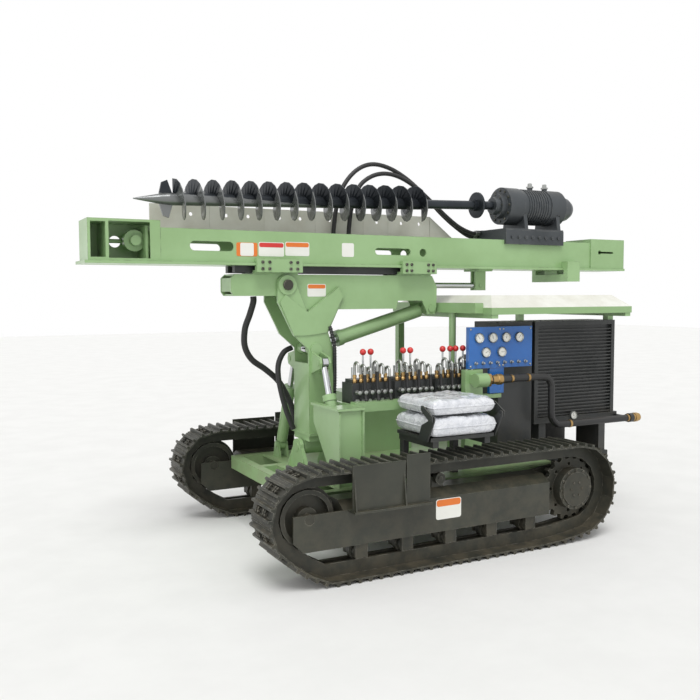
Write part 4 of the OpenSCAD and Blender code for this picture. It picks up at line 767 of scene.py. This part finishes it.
piece("head_bolts", [ring(at(-.9915, 0, HEAD_Z), (1, 0, 0), .112, 12, .0095),
                     ring(at(-1.5105, 0, HEAD_Z), (-1, 0, 0), .122, 12, .008),
                     ring(at(-.9495, 0, HEAD_Z), (1, 0, 0), .077, 8, .006)], bolt_steel, "head",
      smooth=False)
fins = [placed(turned([(0, .1262), (0, .1305), (.008, .1305), (.008, .1262)], 64), at(x, 0, HEAD_Z), (1, 0, 0))
        for x in np.arange(-1.350, -1.160, .022)]
piece("head_ribs", fins, head_grey, "head")
caps = turned([(0, .026), (.004, .027), (.012, .027), (.013, .017), (.034, .016), (.036, .012)], 6)
piece("head_port_caps", [placed(caps, at([(-1.440, -.040, 2.378), (-1.300, -.040, 2.378)]))], zinc, "head",
      smooth=False)
for side in (1, -1):
    piece(f"drive_bolts_{'left' if side > 0 else 'right'}",
          [ring(at(-.9245, side * .8942, .335), (0, side, 0), .122, 12, .0085),
           ring(at(-.9245, side * .9022, .335), (0, side, 0), .045, 6, .007)], bolt_steel, "chassis",
          smooth=False)
guide_heads = np.array([(x, s * .1722, z) for s in (1, -1) for x in (.700, .745, .885, .930, -.300, -.262, -.130, -.092)
                        for z in (1.745, 1.785)])
outward = np.c_[np.zeros(len(guide_heads)), np.sign(guide_heads[:, 1]), np.zeros(len(guide_heads))]
guide_bolt = turned([(0, .0105), (.007, .0105), (.009, .0085)], 6)
piece("guide_bolts", [placed(guide_bolt, at(guide_heads), outward)], bolt_steel, "boom", smooth=False)
pin_head = turned([(0, .031), (.003, .033), (.010, .033), (.013, .030)], 32)
for s in (1, -1):
    piece(f"boom_pin_{'near' if s > 0 else 'far'}", [placed(pin_head, at(.747, s * .1282, 1.648), (0, s, 0))],
          bolt_steel, "post")
collars = [placed(turned([(-.022, .0195), (-.020, .0215), (.020, .0215), (.022, .0195)], 6), at(p), d) for p, d in (
    ((.272, -.190, 1.960), (0, 0, 1)), ((.172, -.158, 1.960), (0, 0, 1)))]
piece("tray_unions", collars, zinc, "mast", smooth=False)
ends = [placed(turned([(-.020, .0195), (-.018, .0215), (.018, .0215), (.020, .0195)], 6), at(p), (1, 0, 0))
        for p in ((-.906, -.190, 2.020), (-.906, -.158, 2.040))]
piece("carriage_unions", ends, zinc, "head", smooth=False)
clips = [placed(turned([(-.008, .0245), (-.008, .0268), (.008, .0268), (.008, .0245)], 28), at(p), d) for p, d in (
    ((-.640, .585, 1.035), (1, 0, 0)), ((-.780, .585, 1.035), (1, 0, 0)), ((-1.150, .585, .700), (1, 0, 0)),
    ((-1.690, .585, .700), (1, 0, 0)))]
piece("air_clips", clips, brass, "chassis")
couple = [placed(turned([(0, .0275), (.012, .0285), (.014, .033), (.040, .033), (.042, .0285), (.058, .0285),
                         (.060, .0275)], 28), at(-1.740, .585, .700), (-1, 0, 0)),
          placed(turned([(0, .046), (.010, .047), (.020, .047), (.022, .040)], 6), at(-.440, .585, 1.035), (-1, 0, 0)),
          placed(turned([(0, .0295), (.04, .031), (.045, .036), (.075, .036), (.08, .030)], 28), at(-.480, .585, 1.035),
                 (-1, 0, 0))]
piece("air_couplings", couple, brass, "chassis")

# %% [markdown]
# ## Floor and light
# A plain pale floor, a pale world and one broad soft sun from above the operator's side. At this level a colour
# renders about as it is written: the world gives a bit over half of the light, and the sun the rest.

# %% Floor and light
floor_grid = np.stack(np.meshgrid(np.linspace(-30, 30, 9), np.linspace(-30, 30, 9)), axis=-1).reshape(-1, 2)
floor_mesh = bpy.data.meshes.new("floor")
floor_mesh.from_pydata(np.c_[floor_grid, np.zeros(len(floor_grid))].tolist(), [], quads(9, 9, around=False).tolist())
floor = bpy.data.objects.new("floor", floor_mesh)
bpy.context.scene.collection.objects.link(floor)
floor_mesh.materials.append(finish("pale_floor", rgb(236, 236, 234), rgb(232, 232, 230), (0.7, 0.8), bump=0.0))
SKY_LIGHT = 0.62
world = bpy.data.worlds.new("studio")
bpy.context.scene.world = world
world.use_nodes = True
sky = world.node_tree
background = sky.nodes["Background"]
seen = put(sky, "ShaderNodeLightPath")
straight = math_node(sky, "MAXIMUM", seen.outputs["Is Camera Ray"], math_node(
    sky, "MAXIMUM", seen.outputs["Is Glossy Ray"], seen.outputs["Is Transmission Ray"]))
sky.links.new(math_node(sky, "ADD", SKY_LIGHT, math_node(sky, "MULTIPLY", straight, 1 - SKY_LIGHT)),
              background.inputs["Strength"])
background.inputs["Color"].default_value = (1, 1, 1, 1)
SUNS = (("sun_broad", 1.7, 0.5, (0.25, 0.55, 1.0)), ("sun_fill", 0.5, 0.9, (0.9, 0.6, 0.35)))
for name, energy, angle, direction in SUNS:
    lamp = bpy.data.objects.new(name, bpy.data.lights.new(name, "SUN"))
    lamp.data.energy, lamp.data.angle = energy, angle
    back = np.array(direction) / np.linalg.norm(direction)
    across = np.cross([0, 0, 1], back) / np.linalg.norm(np.cross([0, 0, 1], back))
    stand = np.eye(4)
    stand[:3, 0], stand[:3, 1], stand[:3, 2] = across, np.cross(back, across), back
    lamp.matrix_world = Matrix(stand.tolist())
    bpy.context.scene.collection.objects.link(lamp)
bpy.context.scene.view_settings.view_transform = "Standard"
